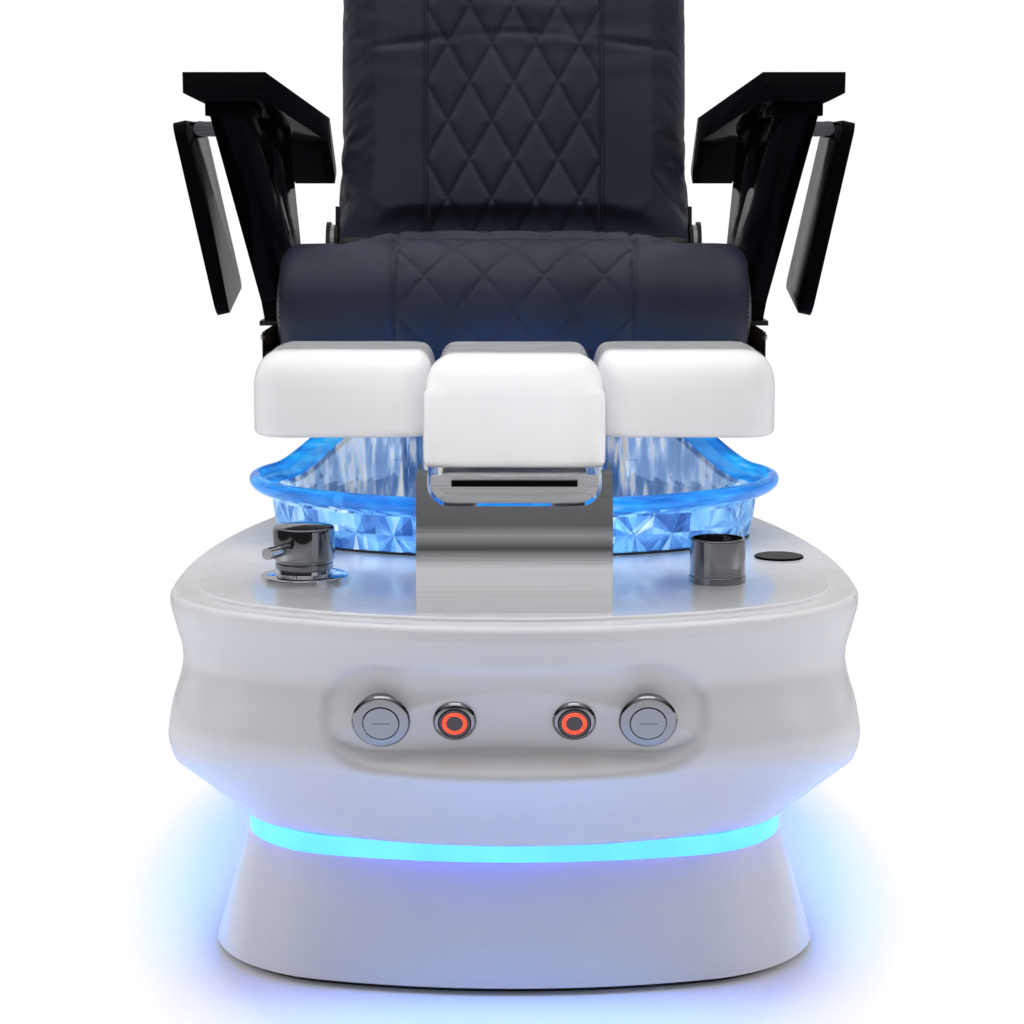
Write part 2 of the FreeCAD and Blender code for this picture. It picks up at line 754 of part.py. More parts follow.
def tub_solid(inset, floor, ceiling):
    """Swelling tub body, moved inwards by an inset and closed at a floor and a ceiling."""
    height = TUB_RIM_HEIGHT - TUB_FLOOR_HEIGHT
    wires = []
    for share, offset_share in TUB_SECTION_SHARES:
        z = TUB_FLOOR_HEIGHT + share * height
        z = floor if share == 0 else z
        z = ceiling if share == 1 else z
        wires.append(tub_egg(offset_share * TUB_HALF_WIDTH - inset, z))
    return Part.makeLoft(wires, True, False)


def stadium(half_width, half_height, y):
    """Corners of an upright slot outline facing the front."""
    x_range = (-half_width, half_width)
    z_range = (BUTTON_Z - half_height, BUTTON_Z + half_height)
    corners = ((0, 0), (1, 0), (1, 1), (0, 1))
    points = [(x_range[i], y, z_range[k]) for i, k in corners]
    return rounded_path(points, half_height - SHORTEST_EDGE, True)


def tipped(shape):
    """Shape of the control panel, tipped so that the panel faces a little downwards."""
    shape.rotate(Vector(0, PANEL_Y, BUTTON_Z), Vector(1, 0, 0), PANEL_LEAN)
    return shape


def recess_tool(grow, floor_y):
    """Drafted slot reaching from in front of the tub to a leaning floor."""
    mouth_y = FRONT - RECESS_DRAFT
    draft = RECESS_DRAFT * (floor_y - mouth_y) / (PANEL_Y - mouth_y)
    mouth = stadium(RECESS_HALF_WIDTH + grow, RECESS_HALF_HEIGHT + grow, mouth_y)
    floor = stadium(RECESS_HALF_WIDTH + grow - draft, RECESS_HALF_HEIGHT + grow - draft, floor_y)
    return Part.makeLoft([mouth, tipped(floor)], True, True)


def tub_shell():
    outer = tub_solid(0, TUB_FLOOR_HEIGHT, TUB_RIM_HEIGHT)
    inner = tub_solid(TUB_WALL, TUB_FLOOR_HEIGHT + TUB_WALL, TUB_RIM_HEIGHT + SHORTEST_EDGE)
    pocket_wall = recess_tool(PANEL_WALL, PANEL_Y + PANEL_WALL)
    shell = outer.cut(inner.cut(pocket_wall)).cut(recess_tool(0, PANEL_Y))
    tools = []
    for x, radius in button_places(LARGE_BEZEL_RADIUS, RING_BEZEL_RADIUS):
        barrel = radius - BEZEL_FLANGE + RUNNING_GAP
        hole = rod(barrel, (x, PANEL_Y - OVERRUN, BUTTON_Z), (x, PANEL_Y + OVERRUN, BUTTON_Z))
        tools.append(tipped(hole))
    below = TUB_FLOOR_HEIGHT - OVERRUN
    above = TUB_FLOOR_HEIGHT + TUB_WALL * 2
    for x, y, radius in floor_pipes():
        tools.append(rod(radius + PIPE_CLEARANCE, (x, y, below), (x, y, above)))
    return shell.cut(tools)


def button_places(large, small):
    """Middle of each button with the size that belongs to it."""
    return ((-LARGE_X, large), (LARGE_X, large), (-RING_X, small), (RING_X, small))


def floor_pipes():
    """Places where pipes pass the tub's floor."""
    half = HOSE_SPREAD / 2
    return (
        (0, BOWL_Y, DRAIN_PIPE_RADIUS),
        (MIXER_X - half, MIXER_Y, HOSE_RADIUS),
        (MIXER_X + half, MIXER_Y, HOSE_RADIUS),
    )


# Buttons


def bezel(x, radius, button_radius):
    """Flanged socket with a blind bore."""
    barrel = radius - BEZEL_FLANGE
    flange = rod(radius, (x, PANEL_Y, BUTTON_Z), (x, PANEL_Y - BEZEL_FLANGE, BUTTON_Z))
    front = edges_where(flange, lambda point: abs(point.y - PANEL_Y + BEZEL_FLANGE) < SHORTEST_EDGE)
    flange = flange.makeFillet(BEZEL_ROUND, front)
    body = rod(barrel, (x, PANEL_Y, BUTTON_Z), (x, PANEL_Y + BEZEL_BARREL, BUTTON_Z))
    floor_y = PANEL_Y - BEZEL_FLANGE + BUTTON_LENGTH + BUTTON_TRAVEL + BUTTON_SPARE_TRAVEL
    start = (x, PANEL_Y - OVERRUN, BUTTON_Z)
    bore = rod(button_radius + RUNNING_GAP, start, (x, floor_y, BUTTON_Z))
    return flange.fuse(body).cut(bore).removeSplitter()


def bezels(x, radius, button_radius):
    return tipped(Part.makeCompound([bezel(side * x, radius, button_radius) for side in (-1, 1)]))


def button_face():
    """Depth position of a button's front."""
    return PANEL_Y - BEZEL_FLANGE - BUTTON_PROUD


def large_button(x):
    face = button_face()
    body = rod(LARGE_BUTTON_RADIUS, (x, face, BUTTON_Z), (x, face + BUTTON_LENGTH, BUTTON_Z))
    half = MARK_WIDTH / 2
    mark = box(
        (x - MARK_LENGTH / 2, x + MARK_LENGTH / 2),
        (face - OVERRUN, face + MARK_DEPTH),
        (BUTTON_Z - half, BUTTON_Z + half),
    )
    return body.cut(mark)


def button_light(x, gap):
    """Lit ring let into a button's front, grown by a gap."""
    face = button_face()
    start = (x, face, BUTTON_Z)
    end = (x, face + LIGHT_RING_DEPTH, BUTTON_Z)
    return ring(LIGHT_RING_OUTER + gap, LIGHT_RING_INNER - gap, start, end)


def ring_button(x):
    face = button_face()
    body = rod(RING_BUTTON_RADIUS, (x, face, BUTTON_Z), (x, face + BUTTON_LENGTH, BUTTON_Z))
    return body.cut(button_light(x, 0))


# Deck


def bowl_angles():
    """Directions of the flutes round the bowl, the front one first."""
    step = 2 * math.pi / BOWL_STATIONS
    return [step * index - math.pi / 2 for index in range(BOWL_STATIONS)]


def bowl_oval(inset, z):
    """Level outline of the bowl, moved inwards from the rim by an inset."""
    points = [bowl_point(angle, inset, z) for angle in bowl_angles()]
    return Part.makePolygon(points + points[:1])


def deck_panel():
    plate = lift(tub_egg(0, TUB_RIM_HEIGHT), DECK_LIP)
    plate = plate.makeFillet(DECK_LIP_ROUND, edges_where(plate, level_at(DECK_EDGE_TOP)))
    step = lift(tub_egg(-DECK_STEP_INSET, TUB_RIM_HEIGHT), DECK_TOP - TUB_RIM_HEIGHT)
    step = step.makeFillet(DECK_STEP_ROUND, edges_where(step, level_at(DECK_TOP)))
    opening = lift(bowl_oval(BOWL_NECK_INSET - GASKET_TUCK, DECK_UNDERSIDE - OVERRUN), OVERRUN * 2)
    below = DECK_UNDERSIDE - OVERRUN
    above = DECK_TOP + OVERRUN
    holes = [opening]
    for x, y, radius in (
        (MIXER_X, MIXER_Y, MIXER_BODY_RADIUS),
        (SPRAYER_X, SPRAYER_Y, SPRAYER_STEM_RADIUS + SPRAYER_RIM),
        (CAP_X, CAP_Y, CAP_BODY_RADIUS),
    ):
        holes.append(rod(radius + RUNNING_GAP, (x, y, below), (x, y, above)))
    start = TUB_RIM_HEIGHT - OVERRUN
    hollow = lift(tub_egg(-DECK_LIP_WIDTH, start), DECK_UNDERSIDE - start)
    return plate.fuse(step).removeSplitter().cut([hollow] + holes)


def deck_cap():
    flange = rod(CAP_RADIUS, (CAP_X, CAP_Y, DECK_TOP), (CAP_X, CAP_Y, DECK_TOP + CAP_FLANGE))
    flange = flange.makeFillet(CAP_ROUND, edges_where(flange, level_at(DECK_TOP + CAP_FLANGE)))
    return flange.fuse(rod(CAP_BODY_RADIUS, (CAP_X, CAP_Y, DECK_TOP), (CAP_X, CAP_Y, DECK_TOP - CAP_BODY)))


# Glass foot bath


def rim_height(angle):
    """Height of the rim round the bowl: level in front, rising in a wave behind."""
    lean = math.degrees(math.asin(math.sin(angle)))
    share = (lean - BOWL_RISE_START) / (BOWL_RISE_END - BOWL_RISE_START)
    share = min(max(share, 0), 1)
    wave = share * share * (3 - 2 * share)
    gentle = math.sin(angle) * BOWL_RIM_SWING
    return DECK_TOP + BOWL_RIM_LIFT + gentle + wave * BOWL_REAR_RISE


def bowl_point(angle, inset, z, width_share=1):
    """Point on the bowl's upright plane at an angle, an inset in from the rim's ellipse."""
    half_x = BOWL_HALF_WIDTH * width_share
    half_y = BOWL_HALF_DEPTH * width_share
    reach = half_x * half_y / math.hypot(half_y * math.cos(angle), half_x * math.sin(angle)) - inset
    return Vector(reach * math.cos(angle), BOWL_Y + reach * math.sin(angle), z)


def bowl_section(angle):
    """Closed profile of the glass on one upright plane."""
    rim = rim_height(angle)
    flare = rim - BOWL_FLARE_HEIGHT
    heel = BOWL_BOTTOM + BOWL_HEEL_LIFT
    glass = BOWL_GLASS
    neck = BOWL_NECK_INSET
    wall = BOWL_WALL_INSET

    def drain(z):
        return Vector(DRAIN_BORE * math.cos(angle), BOWL_Y + DRAIN_BORE * math.sin(angle), z)

    foot = bowl_point(angle, neck, BOWL_BOTTOM, BOWL_FOOT_SHARE)
    heel_outer = bowl_point(angle, neck, heel, BOWL_HEEL_SHARE)
    heel_inner = bowl_point(angle, neck + glass, heel + glass / 2, BOWL_HEEL_SHARE)
    foot_inner = bowl_point(angle, neck + glass, BOWL_INSIDE, BOWL_FOOT_SHARE)
    roll_middle = bowl_point(angle, BOWL_ROLL / 2, rim)
    roll_inner = bowl_point(angle, BOWL_ROLL, rim - BOWL_ROLL / 2)
    shoulder = bowl_point(angle, BOWL_SHOULDER_INSET, SHOULDER_Z)
    edges = [
        Part.makeLine(drain(BOWL_BOTTOM), foot),
        Part.makeLine(foot, heel_outer),
        Part.makeLine(heel_outer, bowl_point(angle, neck, SHOULDER_Z)),
        Part.makeLine(bowl_point(angle, neck, SHOULDER_Z), shoulder),
        Part.makeLine(shoulder, bowl_point(angle, wall, flare)),
        Part.Arc(
            bowl_point(angle, wall, flare),
            bowl_point(angle, wall * BOWL_FLARE_SHARE, rim - BOWL_ROLL),
            bowl_point(angle, 0, rim - BOWL_ROLL / 2),
        ).toShape(),
        Part.Arc(
            bowl_point(angle, 0, rim - BOWL_ROLL / 2),
            roll_middle,
            roll_inner,
        ).toShape(),
        Part.makeLine(roll_inner, bowl_point(angle, wall + glass, flare)),
        Part.makeLine(bowl_point(angle, wall + glass, flare), bowl_point(angle, neck + glass, SHOULDER_Z)),
        Part.makeLine(bowl_point(angle, neck + glass, SHOULDER_Z), heel_inner),
        Part.makeLine(heel_inner, foot_inner),
        Part.makeLine(foot_inner, drain(BOWL_INSIDE)),
        Part.makeLine(drain(BOWL_INSIDE), drain(BOWL_BOTTOM)),
    ]
    return Part.Wire(edges)


def glass_basin():
    return Part.makeLoft([bowl_section(angle) for angle in bowl_angles()], True, True, True)


def basin_gasket():
    outer = bowl_oval(BOWL_SHOULDER_INSET, DECK_TOP)
    return lift(outer, GASKET).cut(lift(bowl_oval(BOWL_NECK_INSET - RUNNING_GAP, DECK_TOP), GASKET))


def basin_light():
    z = DECK_UNDERSIDE - GLOW_RING_HEIGHT
    inner = BOWL_NECK_INSET - GASKET_TUCK - GLOW_RING_INSET
    outer = lift(bowl_oval(inner - GLOW_RING_WIDTH, z), GLOW_RING_HEIGHT)
    return outer.cut(lift(bowl_oval(inner, z), GLOW_RING_HEIGHT))


def at_bowl(z):
    """Point on the bowl's middle axis."""
    return (0, BOWL_Y, z)


def basin_drain():
    flange = rod(DRAIN_FLANGE_RADIUS, at_bowl(BOWL_INSIDE), at_bowl(BOWL_INSIDE + DRAIN_FLANGE))
    tail_end = BOWL_BOTTOM - DRAIN_TAIL
    tail = rod(DRAIN_TAIL_RADIUS, at_bowl(BOWL_INSIDE), at_bowl(tail_end))
    bore = rod(DRAIN_INNER_RADIUS, at_bowl(BOWL_INSIDE + OVERRUN), at_bowl(tail_end - OVERRUN))
    guide_top = BOWL_INSIDE - STOPPER_GUIDE
    guide = rod(STOPPER_GUIDE_RADIUS, at_bowl(guide_top), at_bowl(guide_top - STOPPER_GUIDE))
    spokes = []
    half = STOPPER_SPOKE / 2
    z_range = (guide_top - STOPPER_GUIDE, guide_top)
    reach = (DRAIN_INNER_RADIUS + DRAIN_TAIL_RADIUS) / 2
    spokes.append(box((-reach, reach), (BOWL_Y - half, BOWL_Y + half), z_range))
    spokes.append(box((-half, half), (BOWL_Y - reach, BOWL_Y + reach), z_range))
    stem_hole = rod(STOPPER_STEM_RADIUS + PIN_GAP, at_bowl(BOWL_INSIDE), at_bowl(tail_end))
    body = flange.fuse(tail).cut(bore)
    return body.fuse([guide] + spokes).cut(stem_hole).removeSplitter()


def drain_nut():
    return ring(DRAIN_NUT_RADIUS, DRAIN_TAIL_RADIUS, at_bowl(BOWL_BOTTOM), at_bowl(BOWL_BOTTOM - DRAIN_NUT))


def drain_stopper():
    start = BOWL_INSIDE + DRAIN_FLANGE
    disc = rod(STOPPER_RADIUS, at_bowl(start), at_bowl(start + STOPPER))
    disc = disc.makeFillet(STOPPER / 2, edges_where(disc, level_at(start + STOPPER)))
    return disc.fuse(rod(STOPPER_STEM_RADIUS, at_bowl(start), at_bowl(start - STOPPER_STEM))).removeSplitter()


def drain_pipe():
    start = BOWL_BOTTOM - DRAIN_TAIL
    points = [at_bowl(start), at_bowl(SERVICE_HEIGHT), (0, NICHE_Y + STUB_LENGTH, SERVICE_HEIGHT)]
    pipe = hose(points, DRAIN_BEND, DRAIN_PIPE_RADIUS, DRAIN_PIPE_RADIUS - DRAIN_PIPE_WALL)
    return turned_stub(pipe, 0, DRAIN_PIPE_RADIUS)


# Mixer


def at_mixer(z):
    """Point on the mixer's axis."""
    return (MIXER_X, MIXER_Y, z)


def mixer_valve():
    flange_top = DECK_TOP + MIXER_FLANGE
    flange = rod(MIXER_FLANGE_RADIUS, at_mixer(DECK_TOP), at_mixer(flange_top))
    flange = flange.makeFillet(MIXER_FLANGE / 2, edges_where(flange, level_at(flange_top)))
    step = rod(MIXER_STEP_RADIUS, at_mixer(DECK_TOP), at_mixer(flange_top + MIXER_STEP))
    body = rod(MIXER_BODY_RADIUS, at_mixer(DECK_TOP), at_mixer(DECK_TOP - MIXER_BODY))
    stem = rod(MIXER_STEM_RADIUS, at_mixer(DECK_TOP), at_mixer(flange_top + MIXER_STEP + MIXER_STEM))
    return flange.fuse([step, body, stem]).removeSplitter()


def knob_bottom():
    """Height of the knob's underside."""
    return DECK_TOP + MIXER_FLANGE + MIXER_STEP + RUNNING_GAP


def mixer_knob():
    bottom = knob_bottom()
    top = bottom + KNOB_HEIGHT
    knob = rod(KNOB_RADIUS, at_mixer(bottom), at_mixer(top))
    knob = knob.makeFillet(KNOB_ROUND, edges_where(knob, level_at(top)))
    groove_start = bottom + KNOB_GROOVE_LIFT
    groove_end = groove_start + KNOB_GROOVE_HEIGHT
    groove = ring(KNOB_RADIUS + OVERRUN, KNOB_RADIUS - KNOB_GROOVE,
                  at_mixer(groove_start), at_mixer(groove_end))
    socket_end = bottom + MIXER_STEM + RUNNING_GAP
    socket = rod(MIXER_STEM_RADIUS + PIN_GAP, at_mixer(bottom), at_mixer(socket_end))
    return knob.cut([groove, socket]).cut(mixer_lever())


def mixer_lever():
    z = knob_bottom() + LEVER_LIFT_SHARE * KNOB_HEIGHT
    turn = math.radians(LEVER_TURN)
    heading = Vector(-math.sin(turn), -math.cos(turn), 0)
    middle = Vector(*at_mixer(z))
    start = middle + heading * (KNOB_RADIUS - LEVER_SEAT)
    end = middle + heading * LEVER_REACH
    return rod(LEVER_RADIUS, start, end)


def mixer_hose(side, stub_x):
    x = MIXER_X + side * HOSE_SPREAD / 2
    shift = (HOSE_SPREAD / 2) * side
    turn_start = PLINTH_REAR * HOSE_TURN_SHARE - shift
    turn_end = turn_start + (stub_x - x)
    points = [
        (x, MIXER_Y, DECK_TOP - MIXER_BODY),
        (x, MIXER_Y, SERVICE_HEIGHT),
        (x, turn_start, SERVICE_HEIGHT),
        (stub_x, turn_end, SERVICE_HEIGHT),
        (stub_x, NICHE_Y + STUB_LENGTH, SERVICE_HEIGHT),
    ]
    return turned_stub(hose(points, HOSE_BEND, HOSE_RADIUS, HOSE_BORE), stub_x, HOSE_RADIUS)


def hot_hose():
    return mixer_hose(-1, HOT_X)


def cold_hose():
    return mixer_hose(1, COLD_X)


# Hand sprayer


def at_sprayer(z):
    """Point on the sprayer's axis."""
    return (SPRAYER_X, SPRAYER_Y, z)


def sprayer_ring():
    top = DECK_TOP + SPRAYER_RING
    collar = rod(SPRAYER_RING_RADIUS, at_sprayer(DECK_TOP), at_sprayer(top))
    collar = collar.makeFillet(SPRAYER_ROUND, edges_where(collar, level_at(top)))
    sleeve = rod(SPRAYER_STEM_RADIUS + SPRAYER_RIM,
                 at_sprayer(DECK_TOP), at_sprayer(DECK_UNDERSIDE - SPRAYER_RIM))
    bore_end = DECK_UNDERSIDE - OVERRUN
    bore = rod(SPRAYER_STEM_RADIUS + RUNNING_GAP, at_sprayer(top), at_sprayer(bore_end))
    return collar.fuse(sleeve).cut(bore).removeSplitter()


def sprayer_head():
    bottom = DECK_TOP + SPRAYER_RING
    top = bottom + SPRAYER_HEIGHT
    head = rod(SPRAYER_RADIUS, at_sprayer(bottom), at_sprayer(top))
    head = head.makeFillet(SPRAYER_ROUND, edges_where(head, level_at(top)))
    dish = rod(SPRAYER_RADIUS - SPRAYER_RIM, at_sprayer(top - SPRAYER_DISH), at_sprayer(top + OVERRUN))
    stem = rod(SPRAYER_STEM_RADIUS, at_sprayer(bottom), at_sprayer(bottom - SPRAYER_STEM))
    return head.cut(dish).fuse(stem).removeSplitter()


def sprayer_hose():
    start = DECK_TOP + SPRAYER_RING - SPRAYER_STEM
    return ring(SPRAYER_HOSE_RADIUS, SPRAYER_HOSE_BORE, at_sprayer(start), at_sprayer(start - SPRAYER_HOSE))


# Footrest


def cover_profile(inset):
    """Side outline of the footrest cover from its foot to its bent-back top edge."""
    foot = Vector(0, COVER_Y + inset, DECK_TOP)
    knee = Vector(0, COVER_Y + inset, DECK_TOP + COVER_STRAIGHT)
    radius = COVER_RADIUS - inset
    centre = knee + Vector(0, radius, 0)

    def on_arc(degrees):
        angle = math.radians(degrees)
        return centre + Vector(0, -radius * math.cos(angle), radius * math.sin(angle))

    return foot, knee, on_arc(COVER_BEND / 2), on_arc(COVER_BEND)


def cover_side(inset, back):
    """Flat side of the cover, reaching back to a depth."""
    foot, knee, middle, top = cover_profile(inset)
    back_top = Vector(0, back, top.z)
    back_foot = Vector(0, back, DECK_TOP)
    edges = [
        Part.makeLine(foot, knee),
        Part.Arc(knee, middle, top).toShape(),
        Part.makeLine(top, back_top),
        Part.makeLine(back_top, back_foot),
        Part.makeLine(back_foot, foot),
    ]
    return Part.Face(Part.Wire(edges))


def footrest_cover():
    half = COVER_HALF_WIDTH
    back = COVER_Y + COVER_DEPTH
    outer = cover_side(0, back).extrude(Vector(half * 2, 0, 0))
    outer.translate(Vector(-half, 0, 0))
    inner = cover_side(COVER_SHEET, back + OVERRUN).extrude(Vector((half - COVER_SHEET) * 2, 0, 0))
    inner.translate(Vector(COVER_SHEET - half, 0, 0))
    top_room = box((COVER_SHEET - half, half - COVER_SHEET), (COVER_Y + COVER_HOOD, back + OVERRUN),
                   (DECK_TOP, DECK_TOP + COVER_RADIUS))
    notch_z = DECK_TOP + NOTCH_LIFT
    corners = [
        (-NOTCH_HALF_WIDTH, COVER_Y - OVERRUN, notch_z),
        (NOTCH_HALF_WIDTH, COVER_Y - OVERRUN, notch_z),
        (NOTCH_HALF_WIDTH, COVER_Y - OVERRUN, notch_z + COVER_RADIUS),
        (-NOTCH_HALF_WIDTH, COVER_Y - OVERRUN, notch_z + COVER_RADIUS),
    ]
    notch = outline_prism(corners, NOTCH_RADIUS, (0, COVER_DEPTH / 2 + OVERRUN, 0))
    return outer.cut([inner, top_room, notch]).removeSplitter()


def column_y():
    """Depth position of the footrest's guide tubes."""
    return COVER_Y + COLUMN_SETBACK


def footrest_column():
    y = column_y()
    margin = COLUMN_FOOT_MARGIN
    foot = box((-COLUMN_X - margin, COLUMN_X + margin), (y - margin, y + margin),
               (DECK_TOP, DECK_TOP + COLUMN_FOOT))
    tubes = []
    for x in (-COLUMN_X, COLUMN_X):
        start = (x, y, DECK_TOP + COLUMN_FOOT / 2)
        tubes.append(ring(COLUMN_RADIUS, COLUMN_BORE, start, (x, y, DECK_TOP + COLUMN_HEIGHT)))
    return foot.fuse(tubes).removeSplitter()


def carriage_front():
    """Depth position of the carriage plate's front."""
    return COVER_Y + CARRIAGE_SETBACK


def carriage_outline(half_width, bottom, y):
    """Corners of the plate, its two lower corners first."""
    top = DECK_TOP + CARRIAGE_TOP
    return [(-half_width, y, bottom), (half_width, y, bottom), (half_width, y, top), (-half_width, y, top)]


def footrest_carriage():
    y = carriage_front()
    bottom = DECK_TOP + CARRIAGE_LIFT
    radii = [CARRIAGE_CORNER, CARRIAGE_CORNER, CARRIAGE_PLATE, CARRIAGE_PLATE]
    plate = outline_prism(carriage_outline(CARRIAGE_HALF_WIDTH, bottom, y), radii, (0, CARRIAGE_PLATE, 0))
    rim = outline_prism(carriage_outline(CARRIAGE_HALF_WIDTH, bottom, y - CARRIAGE_RIM_PROUD), radii,
                        (0, CARRIAGE_RIM_PROUD, 0))
    opening = carriage_outline(CARRIAGE_HALF_WIDTH - CARRIAGE_RIM, bottom + CARRIAGE_RIM,
                               y - CARRIAGE_RIM_PROUD)
    opening = [point if point[2] == bottom + CARRIAGE_RIM else (point[0], point[1], point[2] + OVERRUN)
               for point in opening]
    inner_radii = [CARRIAGE_CORNER - CARRIAGE_RIM] * 2 + [CARRIAGE_PLATE] * 2
    rim = rim.cut(outline_prism(opening, inner_radii, (0, CARRIAGE_RIM_PROUD, 0)))
    column = column_y()
    sleeve_outer = COLUMN_RADIUS + SLEEVE_WALL
    half = sleeve_outer + COLUMN_X
    bridge_z = (DECK_TOP + CARRIAGE_TOP - CARRIAGE_BRIDGE_HEIGHT, DECK_TOP + CARRIAGE_TOP)
    pieces = [rim, box((-half, half), (y, CROSSBAR_Y), bridge_z)]
    bores = []
    for x in (-COLUMN_X, COLUMN_X):
        pieces.append(rod(sleeve_outer, (x, column, DECK_TOP + SLEEVE_START), (x, column, bridge_z[1])))
        bore_end = (x, column, DECK_TOP + SLEEVE_TOP)
        bores.append(rod(COLUMN_RADIUS + RUNNING_GAP, (x, column, DECK_TOP), bore_end))
    lug_y = (CROSSBAR_Y - LUG_HALF_WIDTH, CROSSBAR_Y + LUG_HALF_WIDTH)
    for side in (-1, 1):
        near = side * (PAD_HALF_WIDTH - LUG_HALF_WIDTH)
        far = side * (PAD_HALF_WIDTH - LUG_HALF_WIDTH * 2)
        x_range = (min(near, far), max(near, far))
        pieces.append(box(x_range, lug_y, (bridge_z[0], DECK_TOP + PAD_SADDLE_LIFT)))
    shaft = rod(CROSSBAR_RADIUS, (-OVERRUN - PAD_HALF_WIDTH, CROSSBAR_Y, CROSSBAR_Z),
                (OVERRUN + PAD_HALF_WIDTH, CROSSBAR_Y, CROSSBAR_Z))
    return plate.fuse(pieces).cut(bores + [shaft, release_body(RUNNING_GAP)]).removeSplitter()


def crossbar():
    return rod(CROSSBAR_RADIUS, (-CROSSBAR_HALF_LENGTH, CROSSBAR_Y, CROSSBAR_Z),
               (CROSSBAR_HALF_LENGTH, CROSSBAR_Y, CROSSBAR_Z))


def release_body(gap):
    """Black release bar through the carriage plate, grown by a gap."""
    y = carriage_front()
    z = DECK_TOP + BAR_LIFT
    half = BAR_HEIGHT / 2 + gap
    reach = BAR_DEPTH if gap == 0 else BAR_DEPTH + BAR_TRAVEL
    half_width = BAR_HALF_WIDTH + gap
    return box((-half_width, half_width), (y - BAR_PROUD, y + reach), (z - half, z + half))


def footrest_release():
    return release_body(0)


def pad_block(x_range, y_range, z_range, radii, round_size):
    """Upholstered or moulded block, rounded in plan and along its top."""
    corners = rectangle(x_range, y_range, z_range[0])
    block = outline_prism(corners, radii, (0, 0, z_range[1] - z_range[0]))
    return block.makeFillet(round_size, edges_where(block, level_at(z_range[1])))


def centre_pad():
    front = COVER_Y + PAD_APRON_SETBACK
    top = DECK_TOP + PAD_TOP
    seat = DECK_TOP + PAD_SADDLE_LIFT
    apron = pad_block((-PAD_APRON_HALF_WIDTH, PAD_APRON_HALF_WIDTH), (front, front + PAD_APRON),
                      (DECK_TOP + PAD_APRON_LIFT, top), PAD_APRON_CORNER, PAD_ROUND)
    saddle = pad_block((-PAD_HALF_WIDTH, PAD_HALF_WIDTH), (front + PAD_APRON / 2, front + PAD_DEPTH),
                       (seat, top), PAD_ROUND, PAD_ROUND)
    return apron.fuse(saddle).removeSplitter()


def side_pad():
    front = COVER_Y + PAD_SIDE_SETBACK
    radii = [PAD_SIDE_INNER_CORNER, PAD_SIDE_CORNER, PAD_SIDE_CORNER, PAD_SIDE_INNER_CORNER]
    z_range = (DECK_TOP + PAD_SIDE_LIFT, DECK_TOP + PAD_SIDE_TOP)
    pad = pad_block((PAD_SIDE_START, PAD_SIDE_END), (front, front + PAD_SIDE_DEPTH), z_range,
                    radii, PAD_SIDE_INNER_CORNER - PIN_GAP)
    shaft = rod(CROSSBAR_RADIUS + PIN_GAP, (0, CROSSBAR_Y, CROSSBAR_Z),
                (CROSSBAR_HALF_LENGTH + RUNNING_GAP, CROSSBAR_Y, CROSSBAR_Z))
    return pad.cut(shaft)


# Pedestal and slide


def pedestal():
    plan = rectangle((-PEDESTAL_HALF_WIDTH, PEDESTAL_HALF_WIDTH), (PEDESTAL_START, PEDESTAL_END), DECK_TOP)
    outer = outline_prism(plan, PEDESTAL_CORNER, (0, 0, PEDESTAL_HEIGHT))
    wall = PEDESTAL_WALL
    room = rectangle((wall - PEDESTAL_HALF_WIDTH, PEDESTAL_HALF_WIDTH - wall),
                     (PEDESTAL_START + wall, PEDESTAL_END - wall), DECK_TOP)
    return outer.cut(outline_prism(room, PEDESTAL_CORNER - wall, (0, 0, PEDESTAL_HEIGHT - wall)))


def rail_bar(half_width, z_range, gap, y_range):
    """Bar of the rail's section at the right-hand rail, grown by a gap."""
    half = half_width + gap
    return box((RAIL_X - half, RAIL_X + half), y_range, z_range)


def slide_rails():
    y_range = (PEDESTAL_START, PEDESTAL_END)
    head_z = (PEDESTAL_TOP + RAIL_FOOT, PEDESTAL_TOP + RAIL_HEIGHT)
    foot = rail_bar(RAIL_FOOT_HALF, (PEDESTAL_TOP, head_z[0]), 0, y_range)
    return both_sides(foot.fuse(rail_bar(RAIL_HEAD_HALF, head_z, 0, y_range)).removeSplitter())


def runner():
    """Channel that wraps the right-hand rail from above."""
    y_range = (SEAT_Y + RUNNER_START, SEAT_Y + RUNNER_END)
    head_z = (PEDESTAL_TOP + RAIL_FOOT - RUNNING_GAP, RUNNER_Z)
    outer = rail_bar(RAIL_HEAD_HALF, (head_z[0] - RUNNER_LIP, FRAME_Z), RUNNING_GAP + RUNNER_WALL, y_range)
    head = rail_bar(RAIL_HEAD_HALF, head_z, RUNNING_GAP, y_range)
    foot = rail_bar(RAIL_FOOT_HALF, (PEDESTAL_TOP, head_z[0]), RUNNING_GAP, y_range)
    return outer.cut([head, foot])


# Seat


def seat_frame():
    rear = PIVOT_Y + EAR_HALF_LENGTH
    ear_x = SIDE_ARM_X + SIDE_ARM + RUNNING_GAP + RECLINER
    plate = box((-FRAME_HALF_WIDTH, FRAME_HALF_WIDTH), (SEAT_Y + FRAME_START, rear), (FRAME_Z, SHELL_Z))
    wing = box((-ear_x - EAR, ear_x + EAR), (PIVOT_Y - EAR_HALF_LENGTH, rear), (FRAME_Z, SHELL_Z))
    pieces = [wing, runner(), mirrored(runner())]
    ear = box((ear_x, ear_x + EAR), (PIVOT_Y - EAR_HALF_LENGTH, rear), (FRAME_Z, PIVOT_Z))
    head = rod(EAR_HALF_LENGTH, (ear_x, PIVOT_Y, PIVOT_Z), (ear_x + EAR, PIVOT_Y, PIVOT_Z))
    for piece in (ear, head):
        pieces += [piece, mirrored(piece)]
    return plate.fuse(pieces).removeSplitter()


def shell_plan(inset):
    """Corners of the seat shell seen from above."""
    half = SHELL_HALF_WIDTH - inset
    return rectangle((-half, half), (SEAT_Y + SHELL_START + inset, SEAT_Y + SHELL_END - inset), SHELL_Z)


